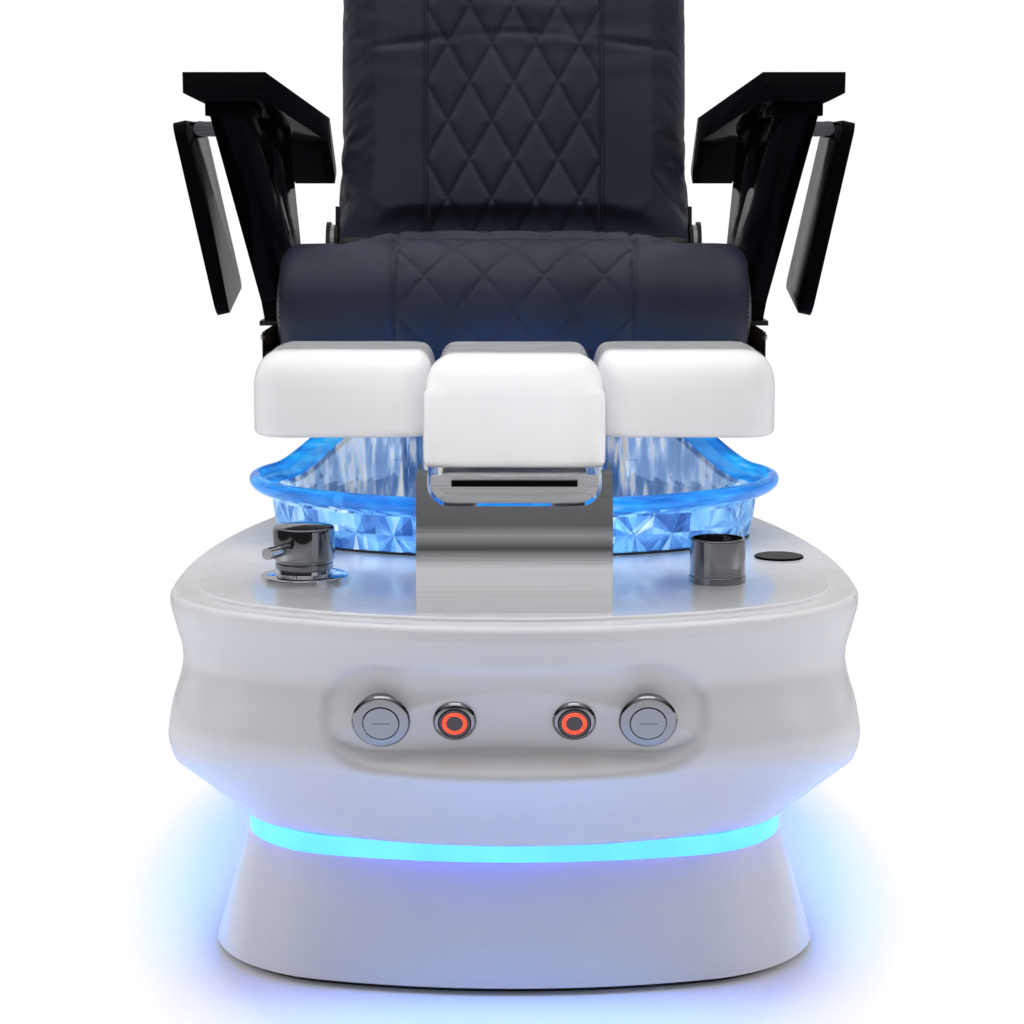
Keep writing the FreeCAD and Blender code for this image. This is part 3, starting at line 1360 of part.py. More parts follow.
def roll_room():
    """Space between the shell's cheeks that the front roll takes."""
    half = SHELL_HALF_WIDTH - SHELL_WALL
    y_range = (SEAT_Y - ROLL_RADIUS * 2, SEAT_Y + SLAB_START)
    return box((-half, half), y_range, (SEAT_FLOOR, SHELL_RIM + OVERRUN))


def seat_shell():
    outer = outline_prism(shell_plan(0), SHELL_CORNER, (0, 0, SHELL_HEIGHT))
    outer = outer.makeFillet(SHELL_WALL * 2, edges_where(outer, level_at(SHELL_Z)))
    room = outline_prism(shell_plan(SHELL_WALL), SHELL_CORNER - SHELL_WALL, (0, 0, SHELL_HEIGHT))
    room.translate(Vector(0, 0, SHELL_WALL))
    return outer.cut([room, roll_room()])


def shell_trim():
    outer = outline_prism(shell_plan(-TRIM_WIDTH), SHELL_CORNER + TRIM_WIDTH, (0, 0, TRIM_HEIGHT))
    outer = outer.cut(outline_prism(shell_plan(0), SHELL_CORNER, (0, 0, TRIM_HEIGHT)))
    outer.translate(Vector(0, 0, SHELL_HEIGHT - TRIM_DROP))
    return outer.cut(roll_room())


def cushion_base():
    x_range = (-SLAB_HALF_WIDTH, SLAB_HALF_WIDTH)
    y_range = (SEAT_Y + SLAB_START, SEAT_Y + SLAB_END)
    outer = box(x_range, y_range, (SEAT_FLOOR, SLAB_Z - RUNNING_GAP))
    wall = BASE_WALL
    room = box(
        (x_range[0] + wall, x_range[1] - wall),
        (y_range[0] + wall, y_range[1] - wall),
        (SEAT_FLOOR, SLAB_Z - RUNNING_GAP - wall),
    )
    return outer.cut(room)


def crowned_profile(half_width, edge, crown, draw):
    """Section of a cushion: flat underside, drawn-in sides and a crowned top."""
    left = Vector(-half_width, 0, edge)
    right = Vector(half_width, 0, edge)
    foot_left = Vector(draw - half_width, 0, 0)
    foot_right = Vector(half_width - draw, 0, 0)
    edges = [
        Part.makeLine(foot_left, foot_right),
        Part.Arc(foot_right, Vector(half_width - draw * DRAW_MIDDLE_SHARE, 0, edge / 2), right).toShape(),
        Part.Arc(right, Vector(0, 0, edge + crown), left).toShape(),
        Part.Arc(left, Vector(draw * DRAW_MIDDLE_SHARE - half_width, 0, edge / 2), foot_left).toShape(),
    ]
    return Part.Face(Part.Wire(edges))


def quilt_grooves(half_width, columns, row, height, depth):
    """Crossing diagonal slots over a panel that faces the front, starting at its lower edge."""
    pitch = 2 * half_width / columns
    rise = row * columns
    steps = range(-columns, math.ceil(height / row) + 1)
    angle = math.atan2(row, pitch)
    half = QUILT_GROOVE / 2 / math.cos(angle)
    slots = []
    for step in steps:
        for side in (-1, 1):
            start = step * row
            points = [
                (-side * half_width, 0, start - half),
                (side * half_width, 0, start + rise - half),
                (side * half_width, 0, start + rise + half),
                (-side * half_width, 0, start + half),
            ]
            slots.append(polygon_prism(points, (0, depth, 0)))
    panel = box((-half_width, half_width), (0, depth), (0, height))
    seams = []
    for side in (-1, 1):
        x = side * half_width
        seams.append(box((x - SEAM_GROOVE / 2, x + SEAM_GROOVE / 2), (0, depth), (0, height)))
    return slots[0].fuse(slots[1:]).common(panel).fuse(seams)


def seat_roll(radius, half_width, end_round):
    """Front roll of the seat with rounded ends."""
    z = SHELL_Z + ROLL_LIFT
    roll = rod(radius, (-half_width, SEAT_Y, z), (half_width, SEAT_Y, z))
    if end_round:
        ends = [edge for edge in roll.Edges if edge.isClosed()]
        roll = roll.makeFillet(end_round, ends)
    return roll


def seat_slab():
    profile = crowned_profile(SLAB_HALF_WIDTH, SLAB_EDGE_HEIGHT, SLAB_CROWN, SLAB_DRAW)
    length = SLAB_END
    slab = profile.extrude(Vector(0, length, 0))
    slab.translate(Vector(0, SEAT_Y, SLAB_Z))
    high = SLAB_Z + SLAB_EDGE_HEIGHT + SLAB_CROWN
    side = [
        (-SHELL_HALF_WIDTH, SEAT_Y - OVERRUN, SLAB_Z - OVERRUN),
        (-SHELL_HALF_WIDTH, SEAT_Y + SLAB_END, SLAB_Z - OVERRUN),
        (-SHELL_HALF_WIDTH, SEAT_Y + SLAB_END, high),
        (-SHELL_HALF_WIDTH, SEAT_Y - OVERRUN, high),
    ]
    radii = [SHORTEST_EDGE * 2, SHORTEST_EDGE * 2, SLAB_ROUND, SHORTEST_EDGE * 2]
    return slab.common(outline_prism(side, radii, (SHELL_HALF_WIDTH * 2, 0, 0)))


def seat_cushion():
    cushion = seat_slab().fuse(seat_roll(ROLL_RADIUS, ROLL_HALF_WIDTH, ROLL_END_ROUND)).removeSplitter()
    z = SHELL_Z + ROLL_LIFT
    grooves = quilt_grooves(ROLL_QUILT_HALF_WIDTH, QUILT_COLUMNS, ROLL_QUILT_ROW,
                            ROLL_RADIUS * 2, ROLL_RADIUS)
    grooves.translate(Vector(0, SEAT_Y - ROLL_RADIUS, z - ROLL_RADIUS))
    core = seat_roll(ROLL_RADIUS - QUILT_DEPTH, ROLL_HALF_WIDTH, 0)
    return cushion.cut(grooves.cut(core))


# Arms and leg frames, made for the right-hand side


def arm_profile(grow_top):
    """Side outline of the arm board: level nose, gentle fall and a hook at the rear."""
    front = SEAT_Y + ARM_START
    rear = SEAT_Y + ARM_END
    hook = rear + ARM_HOOK
    top = ARM_TOP
    low = ARM_TOP - ARM_THICKNESS
    return [
        (0, front, top - ARM_NOSE_LIFT),
        (0, front + ARM_NOSE, low),
        (0, rear, low - ARM_FALL),
        (0, hook - ARM_THICKNESS / 2, low - ARM_FALL - ARM_HOOK_DROP + ARM_THICKNESS / 2),
        (0, hook, low - ARM_FALL - ARM_HOOK_DROP + ARM_THICKNESS + grow_top),
        (0, rear + ARM_THICKNESS / 2, top - ARM_FALL + grow_top),
        (0, front + ARM_NOSE, top + grow_top),
    ]


def arm_board():
    profile = polygon_prism(arm_profile(0), (ARM_OUTER_FRONT + OVERRUN, 0, 0))
    front = SEAT_Y + ARM_START
    rear = SEAT_Y + ARM_END
    hook = rear + ARM_HOOK
    z = ARM_TOP - ARM_THICKNESS * 2 - ARM_FALL - ARM_HOOK_DROP
    plan = [
        (ARM_INNER_FRONT, front - ARM_MARGIN, z),
        (ARM_OUTER_FRONT, front - ARM_MARGIN, z),
        (ARM_OUTER_REAR, rear, z),
        (ARM_OUTER_REAR - ARM_THICKNESS, hook, z),
        (ARM_HOOK_INNER, hook, z),
        (ARM_INNER_REAR, rear, z),
    ]
    radii = [ARM_EDGE, ARM_CORNER, ARM_CORNER, ARM_CORNER, ARM_EDGE, ARM_CORNER]
    board = profile.common(outline_prism(plan, radii, (0, 0, ARM_TOP - z)))
    low = ARM_TOP - ARM_THICKNESS
    start = Vector(ARM_OUTER_FRONT, front - ARM_THICKNESS, low)
    run = Vector(ARM_OUTER_REAR - ARM_OUTER_FRONT, rear - front, -ARM_FALL) * (1 + ARM_FALL / ARM_END)
    chamfer = [
        start + Vector(-ARM_CHAMFER, 0, -PIN_GAP),
        start + Vector(ARM_CHAMFER, 0, -PIN_GAP),
        start + Vector(ARM_CHAMFER, 0, ARM_CHAMFER_HEIGHT * 2),
        start + Vector(0, 0, ARM_CHAMFER_HEIGHT),
    ]
    return board.cut(polygon_prism(chamfer, run))


def above_arm():
    """Room taken by the arm board and everything over it."""
    return polygon_prism(arm_profile(ARM_HOOK_DROP), (ARM_OUTER_FRONT + OVERRUN, 0, 0))


def arm_legs():
    top = ARM_TOP
    foot = BRACKET_TOP - OVERRUN
    points = [
        (0, LEG_FRONT_FOOT, foot),
        (0, LEG_REAR_FOOT, foot),
        (0, LEG_REAR_FOOT, BRACKET_TOP + LEG_FOOT_HEIGHT),
        (0, LEG_REAR_TOP, top),
        (0, LEG_NOTCH_REAR, top),
        (0, LEG_NOTCH_MIDDLE, top - ARM_THICKNESS - LEG_NOTCH_DEPTH),
        (0, LEG_NOTCH_FRONT, top),
        (0, LEG_FRONT_TOP, top),
        (0, LEG_FRONT_FOOT, BRACKET_TOP + LEG_FOOT_HEIGHT),
    ]
    points = [Vector(-LEG_THICKNESS, y, z) - Vector(0, LEG_FRONT_TOP, top) for _, y, z in points]
    radii = [LEG_EDGE] * 5 + [LEG_NOTCH_CORNER] + [LEG_EDGE] * 3
    panel = outline_prism(points, radii, (LEG_THICKNESS, 0, 0))
    lean = Rotation(Y_AXIS, LEG_LEAN)
    toe = Rotation(Z_AXIS, LEG_TOE)
    place = Vector(LEG_OUTER, SEAT_Y + LEG_FRONT_TOP, top)
    panel.Placement = Placement(place, toe.multiply(lean))
    head_x = (LEG_HEAD_INNER, LEG_HEAD_OUTER)
    head_y = (SEAT_Y + LEG_FRONT_TOP, SEAT_Y + LEG_FRONT_TOP + LEG_HEAD_LENGTH)
    head = box(head_x, head_y, (ARM_TOP - ARM_THICKNESS - LEG_HEAD, ARM_TOP))
    ground = box((0, ARM_OUTER_FRONT * 2), (SEAT_Y - SHELL_END, SEAT_Y + SHELL_END * 2),
                 (BRACKET_TOP - OVERRUN * 3, BRACKET_TOP))
    return panel.fuse(head).cut([above_arm(), ground]).removeSplitter()


def arm_bracket():
    y_range = (SEAT_Y + BRACKET_START, SEAT_Y + BRACKET_END)
    web = box((BRACKET_INNER, BRACKET_INNER + BRACKET), y_range, (SEAT_FLOOR, BRACKET_TOP))
    foot = box((BRACKET_INNER, BRACKET_FOOT), y_range, (SEAT_FLOOR, SEAT_FLOOR + BRACKET))
    ledge = box((BRACKET_INNER, BRACKET_REACH), y_range, (BRACKET_TOP - BRACKET, BRACKET_TOP))
    return web.fuse([foot, ledge]).removeSplitter()


def hinge_y():
    """Depth limits of the tray hinge."""
    start = SEAT_Y + HINGE_START
    return start, start + HINGE_LENGTH


def tray_hinge():
    start, end = hinge_y()
    pin = rod(HINGE_PIN, (HINGE_X, start, HINGE_Z), (HINGE_X, end, HINGE_Z))
    pieces = []
    for y in (start, end - HINGE_CHEEK):
        pieces.append(rod(HINGE_CHEEK_RADIUS, (HINGE_X, y, HINGE_Z), (HINGE_X, y + HINGE_CHEEK, HINGE_Z)))
        pieces.append(box((LEG_HEAD_INNER, HINGE_X), (y, y + HINGE_CHEEK),
                          (HINGE_Z - HINGE_CHEEK_RADIUS, HINGE_Z + HINGE_CHEEK_RADIUS)))
    solid = pin.fuse(pieces).removeSplitter().cut(arm_legs())
    return max(solid.Solids, key=lambda piece: piece.BoundBox.XMax)


def tray():
    start, end = hinge_y()
    low = HINGE_Z - TRAY_BELOW
    high = HINGE_Z + TRAY_ABOVE
    inner = HINGE_X + TRAY_GAP
    front = SEAT_Y + TRAY_START
    points = [
        (inner, front, low),
        (inner, front + TRAY_LENGTH, low + TRAY_REAR_RISE),
        (inner, front + TRAY_LENGTH, high),
        (inner, front, high),
    ]
    board = outline_prism(points, TRAY_CORNER, (TRAY_THICKNESS, 0, 0))
    lug_y = (start + HINGE_CHEEK + RUNNING_GAP, end - HINGE_CHEEK - RUNNING_GAP)
    lug_z = (HINGE_Z - HINGE_LUG_DEPTH, HINGE_Z + HINGE_LUG_DEPTH)
    lug = box((HINGE_X, inner + RUNNING_GAP), lug_y, lug_z)
    barrel = rod(HINGE_LUG_DEPTH - RUNNING_GAP, (HINGE_X, lug_y[0], HINGE_Z), (HINGE_X, lug_y[1], HINGE_Z))
    bore = rod(HINGE_PIN + PIN_GAP, (HINGE_X, start, HINGE_Z), (HINGE_X, end, HINGE_Z))
    solid = board.fuse([lug, barrel]).cut(bore).removeSplitter()
    solid.rotate(Vector(HINGE_X, 0, HINGE_Z), Y_AXIS, TRAY_LEAN)
    return solid


# Back, made upright over its pivot and then leaned


def leaned(shape):
    """The upright shape turned back about the recline axis."""
    shape.rotate(Vector(0, PIVOT_Y, PIVOT_Z), X_AXIS, -BACK_LEAN)
    return shape


def upright_panel(half_width, z_range, y_range, radii):
    """Flat rounded panel that faces the front."""
    points = [(-half_width, y_range[0], z_range[0]), (half_width, y_range[0], z_range[0]),
              (half_width, y_range[0], z_range[1]), (-half_width, y_range[0], z_range[1])]
    return outline_prism(points, radii, (0, y_range[1] - y_range[0], 0))


def back_cushion():
    low = PIVOT_Z + BACK_START
    high = PIVOT_Z + BACK_HEIGHT
    front = PIVOT_Y - BACK_FRONT
    rear = front + BACK_THICKNESS
    profile = crowned_profile(BACK_HALF_WIDTH, BACK_THICKNESS - BACK_CROWN, BACK_CROWN, BACK_DRAW)
    body = profile.extrude(Vector(0, high - low, 0))
    body.rotate(Vector(0, 0, 0), X_AXIS, 90)
    body.translate(Vector(0, rear, low))
    limits = upright_panel(BACK_HALF_WIDTH, (low, high), (front - OVERRUN, rear),
                           [BACK_ROUND, BACK_ROUND, BACK_CORNER, BACK_CORNER])
    side = [(-SHELL_HALF_WIDTH, y, z) for y, z in ((front - SHORTEST_EDGE, low), (rear, low), (rear, high),
                                                   (front - SHORTEST_EDGE, high))]
    side = outline_prism(side, [BACK_ROUND, SHORTEST_EDGE * 2, SHORTEST_EDGE * 2, BACK_ROUND],
                         (SHELL_HALF_WIDTH * 2, 0, 0))
    cushion = body.common(limits).common(side)
    height = high - low - BACK_QUILT_ROW / 2
    grooves = quilt_grooves(BACK_QUILT_HALF_WIDTH, QUILT_COLUMNS, BACK_QUILT_ROW, height, BACK_THICKNESS / 2)
    grooves.translate(Vector(0, front - BACK_CROWN, low))
    core = body.copy()
    core.translate(Vector(0, QUILT_DEPTH, 0))
    return leaned(cushion.cut(grooves.cut(core)))


def back_rear():
    """Depth position of the upright cushion's rear face."""
    return PIVOT_Y - BACK_FRONT + BACK_THICKNESS


def back_frame():
    start = back_rear() + RUNNING_GAP
    z_range = (PIVOT_Z + BACK_START, PIVOT_Z + BACK_HEIGHT - BACK_FRAME_INSET)
    plate = upright_panel(BACK_FRAME_HALF_WIDTH, z_range, (start, start + BACK_FRAME_PLATE), BACK_ROUND)
    end = start + BACK_FRAME_PLATE
    outer = SIDE_ARM_X + SIDE_ARM
    tie_z = (PIVOT_Z - SIDE_ARM_RADIUS, PIVOT_Z + SIDE_ARM_RISE)
    tie = box((-outer, outer), (start, end), tie_z)
    pieces = [tie]
    for side in (-1, 1):
        near = side * SIDE_ARM_X
        far = side * outer
        x_range = (min(near, far), max(near, far))
        pieces.append(box(x_range, (PIVOT_Y, end), tie_z))
        pieces.append(rod(SIDE_ARM_RADIUS, (x_range[0], PIVOT_Y, PIVOT_Z), (x_range[1], PIVOT_Y, PIVOT_Z)))
    hole = rod(RECLINER_PIN + PIN_GAP, (-outer, PIVOT_Y, PIVOT_Z), (outer, PIVOT_Y, PIVOT_Z))
    return leaned(plate.fuse(pieces).cut(hole).removeSplitter())


def recliner():
    start = SIDE_ARM_X + SIDE_ARM + RUNNING_GAP
    disc = rod(RECLINER_RADIUS, (start, PIVOT_Y, PIVOT_Z), (start + RECLINER, PIVOT_Y, PIVOT_Z))
    pin = rod(RECLINER_PIN, (SIDE_ARM_X, PIVOT_Y, PIVOT_Z), (start, PIVOT_Y, PIVOT_Z))
    return disc.fuse(pin).removeSplitter()


def back_shell():
    start = back_rear() + RUNNING_GAP + BACK_FRAME_PLATE
    z_range = (PIVOT_Z + SIDE_ARM_RISE + BACK_SHELL_INSET, PIVOT_Z + BACK_HEIGHT - BACK_SHELL_INSET)
    shell = upright_panel(BACK_SHELL_HALF_WIDTH, z_range, (start, start + BACK_SHELL), BACK_CORNER)
    rear = edges_where(shell, lambda point: abs(point.y - start - BACK_SHELL) < SHORTEST_EDGE)
    return leaned(shell.makeFillet(BACK_SHELL_ROUND, rear))


def head_pillow():
    high = PIVOT_Z + BACK_HEIGHT - PILLOW_DROP
    rear = PIVOT_Y - BACK_FRONT - RUNNING_GAP
    pillow = upright_panel(PILLOW_HALF_WIDTH, (high - PILLOW_HEIGHT, high), (rear - PILLOW_THICKNESS, rear),
                           PILLOW_ROUND * 2)
    front = edges_where(pillow, lambda point: abs(point.y - rear + PILLOW_THICKNESS) < SHORTEST_EDGE)
    return leaned(pillow.makeFillet(PILLOW_ROUND, front))


def make_nodes():
    """Every node's name with its shape."""
    legs = arm_legs()
    board = arm_board()
    shelf = tray()
    pad = side_pad()
    return {
        "base_plate": base_plate(),
        "plinth_skirt": plinth_skirt(),
        "led_strip": led_strip(),
        "led_diffuser": led_diffuser(),
        "control_box": control_box(),
        "power_inlet": power_inlet(),
        "tub_shell": tub_shell(),
        "large_button_bezels": bezels(LARGE_X, LARGE_BEZEL_RADIUS, LARGE_BUTTON_RADIUS),
        "ring_button_bezels": bezels(RING_X, RING_BEZEL_RADIUS, RING_BUTTON_RADIUS),
        "left_large_button": tipped(large_button(-LARGE_X)),
        "right_large_button": tipped(large_button(LARGE_X)),
        "left_ring_button": tipped(ring_button(-RING_X)),
        "right_ring_button": tipped(ring_button(RING_X)),
        "left_button_light": tipped(button_light(-RING_X, -PIN_GAP)),
        "right_button_light": tipped(button_light(RING_X, -PIN_GAP)),
        "deck_panel": deck_panel(),
        "deck_cap": deck_cap(),
        "glass_basin": glass_basin(),
        "basin_gasket": basin_gasket(),
        "basin_light": basin_light(),
        "basin_drain": basin_drain(),
        "drain_nut": drain_nut(),
        "drain_stopper": drain_stopper(),
        "drain_pipe": drain_pipe(),
        "mixer_valve": mixer_valve(),
        "mixer_knob": mixer_knob(),
        "mixer_lever": mixer_lever(),
        "hot_hose": hot_hose(),
        "cold_hose": cold_hose(),
        "sprayer_ring": sprayer_ring(),
        "sprayer_head": sprayer_head(),
        "sprayer_hose": sprayer_hose(),
        "footrest_cover": footrest_cover(),
        "footrest_column": footrest_column(),
        "footrest_carriage": footrest_carriage(),
        "footrest_crossbar": crossbar(),
        "footrest_release": footrest_release(),
        "centre_pad": centre_pad(),
        "left_pad": mirrored(pad),
        "right_pad": pad,
        "pedestal": pedestal(),
        "slide_rails": slide_rails(),
        "seat_frame": seat_frame(),
        "seat_shell": seat_shell(),
        "shell_trim": shell_trim(),
        "cushion_base": cushion_base(),
        "seat_cushion": seat_cushion(),
        "left_arm_board": mirrored(board),
        "right_arm_board": board,
        "left_arm_legs": mirrored(legs),
        "right_arm_legs": legs,
        "arm_brackets": both_sides(arm_bracket()),
        "tray_hinges": both_sides(tray_hinge()),
        "left_tray": mirrored(shelf),
        "right_tray": shelf,
        "recliner_hinges": both_sides(recliner()),
        "back_frame": back_frame(),
        "back_cushion": back_cushion(),
        "back_shell": back_shell(),
        "head_pillow": head_pillow(),
    }


os.makedirs("parts", exist_ok=True)
for name, shape in make_nodes().items():
    shape.exportStep("parts/%s.step" % name)
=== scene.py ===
"""Looks of a pedicure bench: glass foot bath, control front, footrest and a quilted reclining seat.

All sizes are in metres, Z up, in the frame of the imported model. Each sub-assembly is a class that
builds its own meshes, dresses them and puts them on the body they move with.
"""

from __future__ import annotations

import json
import logging
import math
from dataclasses import dataclass, field, replace
from enum import Enum
from typing import Callable, Sequence

import bmesh
import bpy
import numpy as np
from bmesh.types import BMEdge, BMesh, BMVert
from bpy.types import Material, Mesh, Node, NodeOutputs, NodeSocket, Object
from mathutils import Matrix, Vector
from mathutils.bvhtree import BVHTree

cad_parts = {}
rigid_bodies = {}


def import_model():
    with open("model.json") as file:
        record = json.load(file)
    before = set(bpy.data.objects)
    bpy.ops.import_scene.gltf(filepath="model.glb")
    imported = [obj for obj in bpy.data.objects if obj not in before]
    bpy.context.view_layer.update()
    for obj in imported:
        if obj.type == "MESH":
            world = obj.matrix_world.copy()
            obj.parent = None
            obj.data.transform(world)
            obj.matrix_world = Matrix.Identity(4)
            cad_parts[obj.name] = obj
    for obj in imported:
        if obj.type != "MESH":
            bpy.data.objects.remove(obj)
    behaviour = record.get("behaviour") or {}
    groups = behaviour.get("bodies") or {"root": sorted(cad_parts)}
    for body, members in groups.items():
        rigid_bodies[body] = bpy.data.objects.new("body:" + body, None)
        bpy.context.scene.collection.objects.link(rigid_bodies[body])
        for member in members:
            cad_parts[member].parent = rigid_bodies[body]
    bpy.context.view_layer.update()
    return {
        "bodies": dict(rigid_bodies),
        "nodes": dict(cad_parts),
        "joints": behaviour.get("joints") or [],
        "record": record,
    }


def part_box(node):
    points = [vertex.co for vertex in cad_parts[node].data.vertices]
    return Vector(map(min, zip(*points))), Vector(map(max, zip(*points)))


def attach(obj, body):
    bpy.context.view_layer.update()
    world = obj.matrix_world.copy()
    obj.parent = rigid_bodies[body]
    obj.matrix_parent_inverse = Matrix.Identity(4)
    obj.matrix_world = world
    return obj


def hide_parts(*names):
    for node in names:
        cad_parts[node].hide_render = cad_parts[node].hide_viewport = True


LOG = logging.getLogger("pedicure_bench")
Point = tuple[float, float, float]
Colour = tuple[float, float, float]
Stops = tuple[tuple[float, Colour], ...]
WHITE: Colour = (1.0, 1.0, 1.0)
NOISE_LOW, NOISE_HIGH = 0.3, 0.7  # Most values of a noise lie between these
GLASS_INDEX = 1.46
DECK_TOP = 0.408  # Height of the deck above the ground
ROUND_STEPS = 96  # Steps of a full turn on the small round pieces


class Slot(Enum):
    """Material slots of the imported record."""

    GLOSS_WHITE = "gloss_white"
    BASE_BLACK = "base_black"
    BLACK_GLOSS = "black_gloss"
    CHROME = "chrome"
    BRUSHED_STEEL = "brushed_steel"
    CLEAR_GLASS = "clear_glass"
    BLUE_LIGHT = "blue_light"
    ORANGE_LIGHT = "orange_light"
    BLACK_RUBBER = "black_rubber"
    GREY_PLASTIC = "grey_plastic"
    FRAME_PAINT = "frame_paint"
    SEAT_BOARD = "seat_board"
    BLACK_LEATHER = "black_leather"


class Body(Enum):
    """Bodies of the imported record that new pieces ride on."""

    BASE = "base"
    MIXER = "mixer_handle"
    FOOTREST = "footrest"
    LEFT_PAD = "left_foot_pad"
    RIGHT_PAD = "right_foot_pad"
    SEAT = "seat"
    LEFT_TRAY = "left_side_tray"
    RIGHT_TRAY = "right_side_tray"
    BACK = "back"


class Side(Enum):
    """Side of the middle plane, as a factor on X."""

    LEFT = -1
    RIGHT = 1


# Finishes


class NodeTree:
    """Shader nodes of a finish or of the world."""

    def __init__(self, tree: bpy.types.NodeTree) -> None:
        """Take over the tree of a material or of the world, and empty it."""
        self.nodes = tree.nodes
        self.links = tree.links
        self.nodes.clear()

    def add(self, kind: str, inputs: dict | None = None, **settings: object) -> Node:
        """Add a node.

        Args:
            kind: Type of the node, without the prefix that all types share.
            inputs: Values or sockets for the node's inputs, by name or place.
            **settings: Attributes of the node.

        Returns:
            The new node.
        """
        node = self.nodes.new("ShaderNode" + kind)
        for key, value in settings.items():
            setattr(node, key, value)
        for key, value in (inputs or {}).items():
            self.feed(node.inputs[key], value)
        return node

    def feed(self, socket: NodeSocket, value: object) -> None:
        """Set an input, or join it to another node's output.

        Args:
            socket: The input.
            value: A plain value or an output socket.
        """
        if isinstance(value, NodeSocket):
            self.links.new(value, socket)
        else:
            socket.default_value = value

    def number(self, operation: str, *values: object) -> NodeSocket:
        """Result of a calculation with numbers or their sockets."""
        return self.add("Math", dict(enumerate(values)), operation=operation).outputs["Value"]

    def vector(self, operation: str, *values: object) -> NodeSocket:
        """Result of a calculation with vectors or their sockets."""
        node = self.add("VectorMath", dict(enumerate(values)), operation=operation)
        return node.outputs["Value" if operation == "LENGTH" else "Vector"]

    def parts(self, vector: NodeSocket) -> NodeOutputs:
        """X, Y and Z of a vector, as sockets by name."""
        return self.add("SeparateXYZ", {0: vector}).outputs

    def span(self, value: NodeSocket, low: float, high: float,
             start: float = NOISE_LOW, end: float = NOISE_HIGH) -> NodeSocket:
        """A value spread over a new range.

        Args:
            value: The value socket.
            low: Result at the start.
            high: Result at the end.
            start: Value that gives the low result.
            end: Value that gives the high result.

        Returns:
            The result socket.
        """
        names = {"Value": value, "From Min": start, "From Max": end, "To Min": low, "To Max": high}
        return self.add("MapRange", names).outputs["Result"]

    def tint(self, value: NodeSocket, stops: Stops) -> NodeSocket:
        """Colours along a value.

        Args:
            value: The value socket.
            stops: Place and colour of each stop.

        Returns:
            The colour socket.
        """
        ramp = self.add("ValToRGB", {"Fac": value})
        elements = ramp.color_ramp.elements
        while len(elements) < len(stops):
            elements.new(0.5)
        for element, (place, colour) in zip(elements, stops):
            element.position = place
            element.color = (*colour, 1.0)
        return ramp.outputs["Color"]

    def blend(self, share: object, first: object, second: object, mode: str = "MIX") -> NodeSocket:
        """Two colours, with alpha, or their sockets, mixed by the share of the second."""
        inputs = {"Factor": share, 6: first, 7: second}
        return self.add("Mix", inputs, data_type="RGBA", blend_type=mode).outputs[2]


class ShaderTree(NodeTree):
    """Node tree of one finish, with a principled surface at its end."""

    def __init__(self, name: str) -> None:
        """Start a new material."""
        self.material = bpy.data.materials.new(name)
        self.material.use_nodes = True
        super().__init__(self.material.node_tree)
        self.surface = self.add("BsdfPrincipled")
        self.output = self.add("OutputMaterial", {"Surface": self.surface.outputs["BSDF"]})

    def dress(self, **inputs: object) -> None:
        """Set inputs of the surface; underscores in names stand for spaces.

        Args:
            **inputs: Value or socket for each input.
        """
        for key, value in inputs.items():
            if isinstance(value, tuple) and len(value) == 3 and "Normal" not in key:
                value = (*value, 1.0)
            self.feed(self.surface.inputs[key.replace("_", " ")], value)

    def place(self, scale: Point = (1.0, 1.0, 1.0), turn: Point = (0.0, 0.0, 0.0)) -> NodeSocket:
        """Object coordinates, stretched and turned.

        Args:
            scale: Stretch along each axis.
            turn: Turn about each axis, in degrees.

        Returns:
            The vector socket.
        """
        source = self.add("TexCoord").outputs["Object"]
        angles = tuple(math.radians(angle) for angle in turn)
        mapping = self.add("Mapping", {"Vector": source, "Rotation": angles, "Scale": scale})
        return mapping.outputs["Vector"]

    def noise(self, scale: float, detail: float = 2.0, vector: NodeSocket | None = None) -> NodeSocket:
        """Soft noise.

        Args:
            scale: Waves per metre.
            detail: Finer layers on top.
            vector: Coordinates, the object's own if left out.

        Returns:
            The value socket.
        """
        vector = vector or self.place()
        return self.add("TexNoise", {"Vector": vector, "Scale": scale, "Detail": detail}).outputs["Fac"]

    def two_tone(self, value: NodeSocket, dark: Colour, light: Colour,
                 start: float = NOISE_LOW, end: float = NOISE_HIGH) -> NodeSocket:
        """Colours from dark at the start value of a noise to light at its end value."""
        return self.tint(value, ((start, dark), (end, light)))

    def bump(self, height: NodeSocket, distance: float, strength: float = 1.0,
             normal: NodeSocket | None = None) -> NodeSocket:
        """Relief from a height.

        Args:
            height: The height socket, from 0 to 1.
            distance: Depth of the relief in metres.
            strength: Share of the relief that shows.
            normal: An earlier relief under this one.

        Returns:
            The normal socket.
        """
        inputs = {"Height": height, "Distance": distance, "Strength": strength}
        if normal is not None:
            inputs["Normal"] = normal
        return self.add("Bump", inputs).outputs["Normal"]


@dataclass(frozen=True)
class Moulded:
    """Smooth moulded or painted surface with slight unevenness."""

    name: str
    dark: Colour
    light: Colour
    roughness: float
    coat: float = 0.0
    peel: float = 0.00006
    peel_scale: float = 160.0
    gloss: float = 0.5
    coat_roughness: float = 0.03
    cloud_scale: float = 5.0
    wear_scale: float = 38.0
    least_wear: float = 0.85
    most_wear: float = 1.2

    def material(self) -> Material:
        """Build the finish."""
        tree = ShaderTree(self.name)
        wear = tree.span(tree.noise(self.wear_scale), self.roughness * self.least_wear,
                         self.roughness * self.most_wear)
        tree.dress(
            Base_Color=tree.two_tone(tree.noise(self.cloud_scale, 3.0), self.dark, self.light),
            Roughness=wear,
            Normal=tree.bump(tree.noise(self.peel_scale, 1.0), self.peel),
            Specular_IOR_Level=self.gloss,
            Coat_Weight=self.coat,
            Coat_Roughness=self.coat_roughness,
        )
        return tree.material


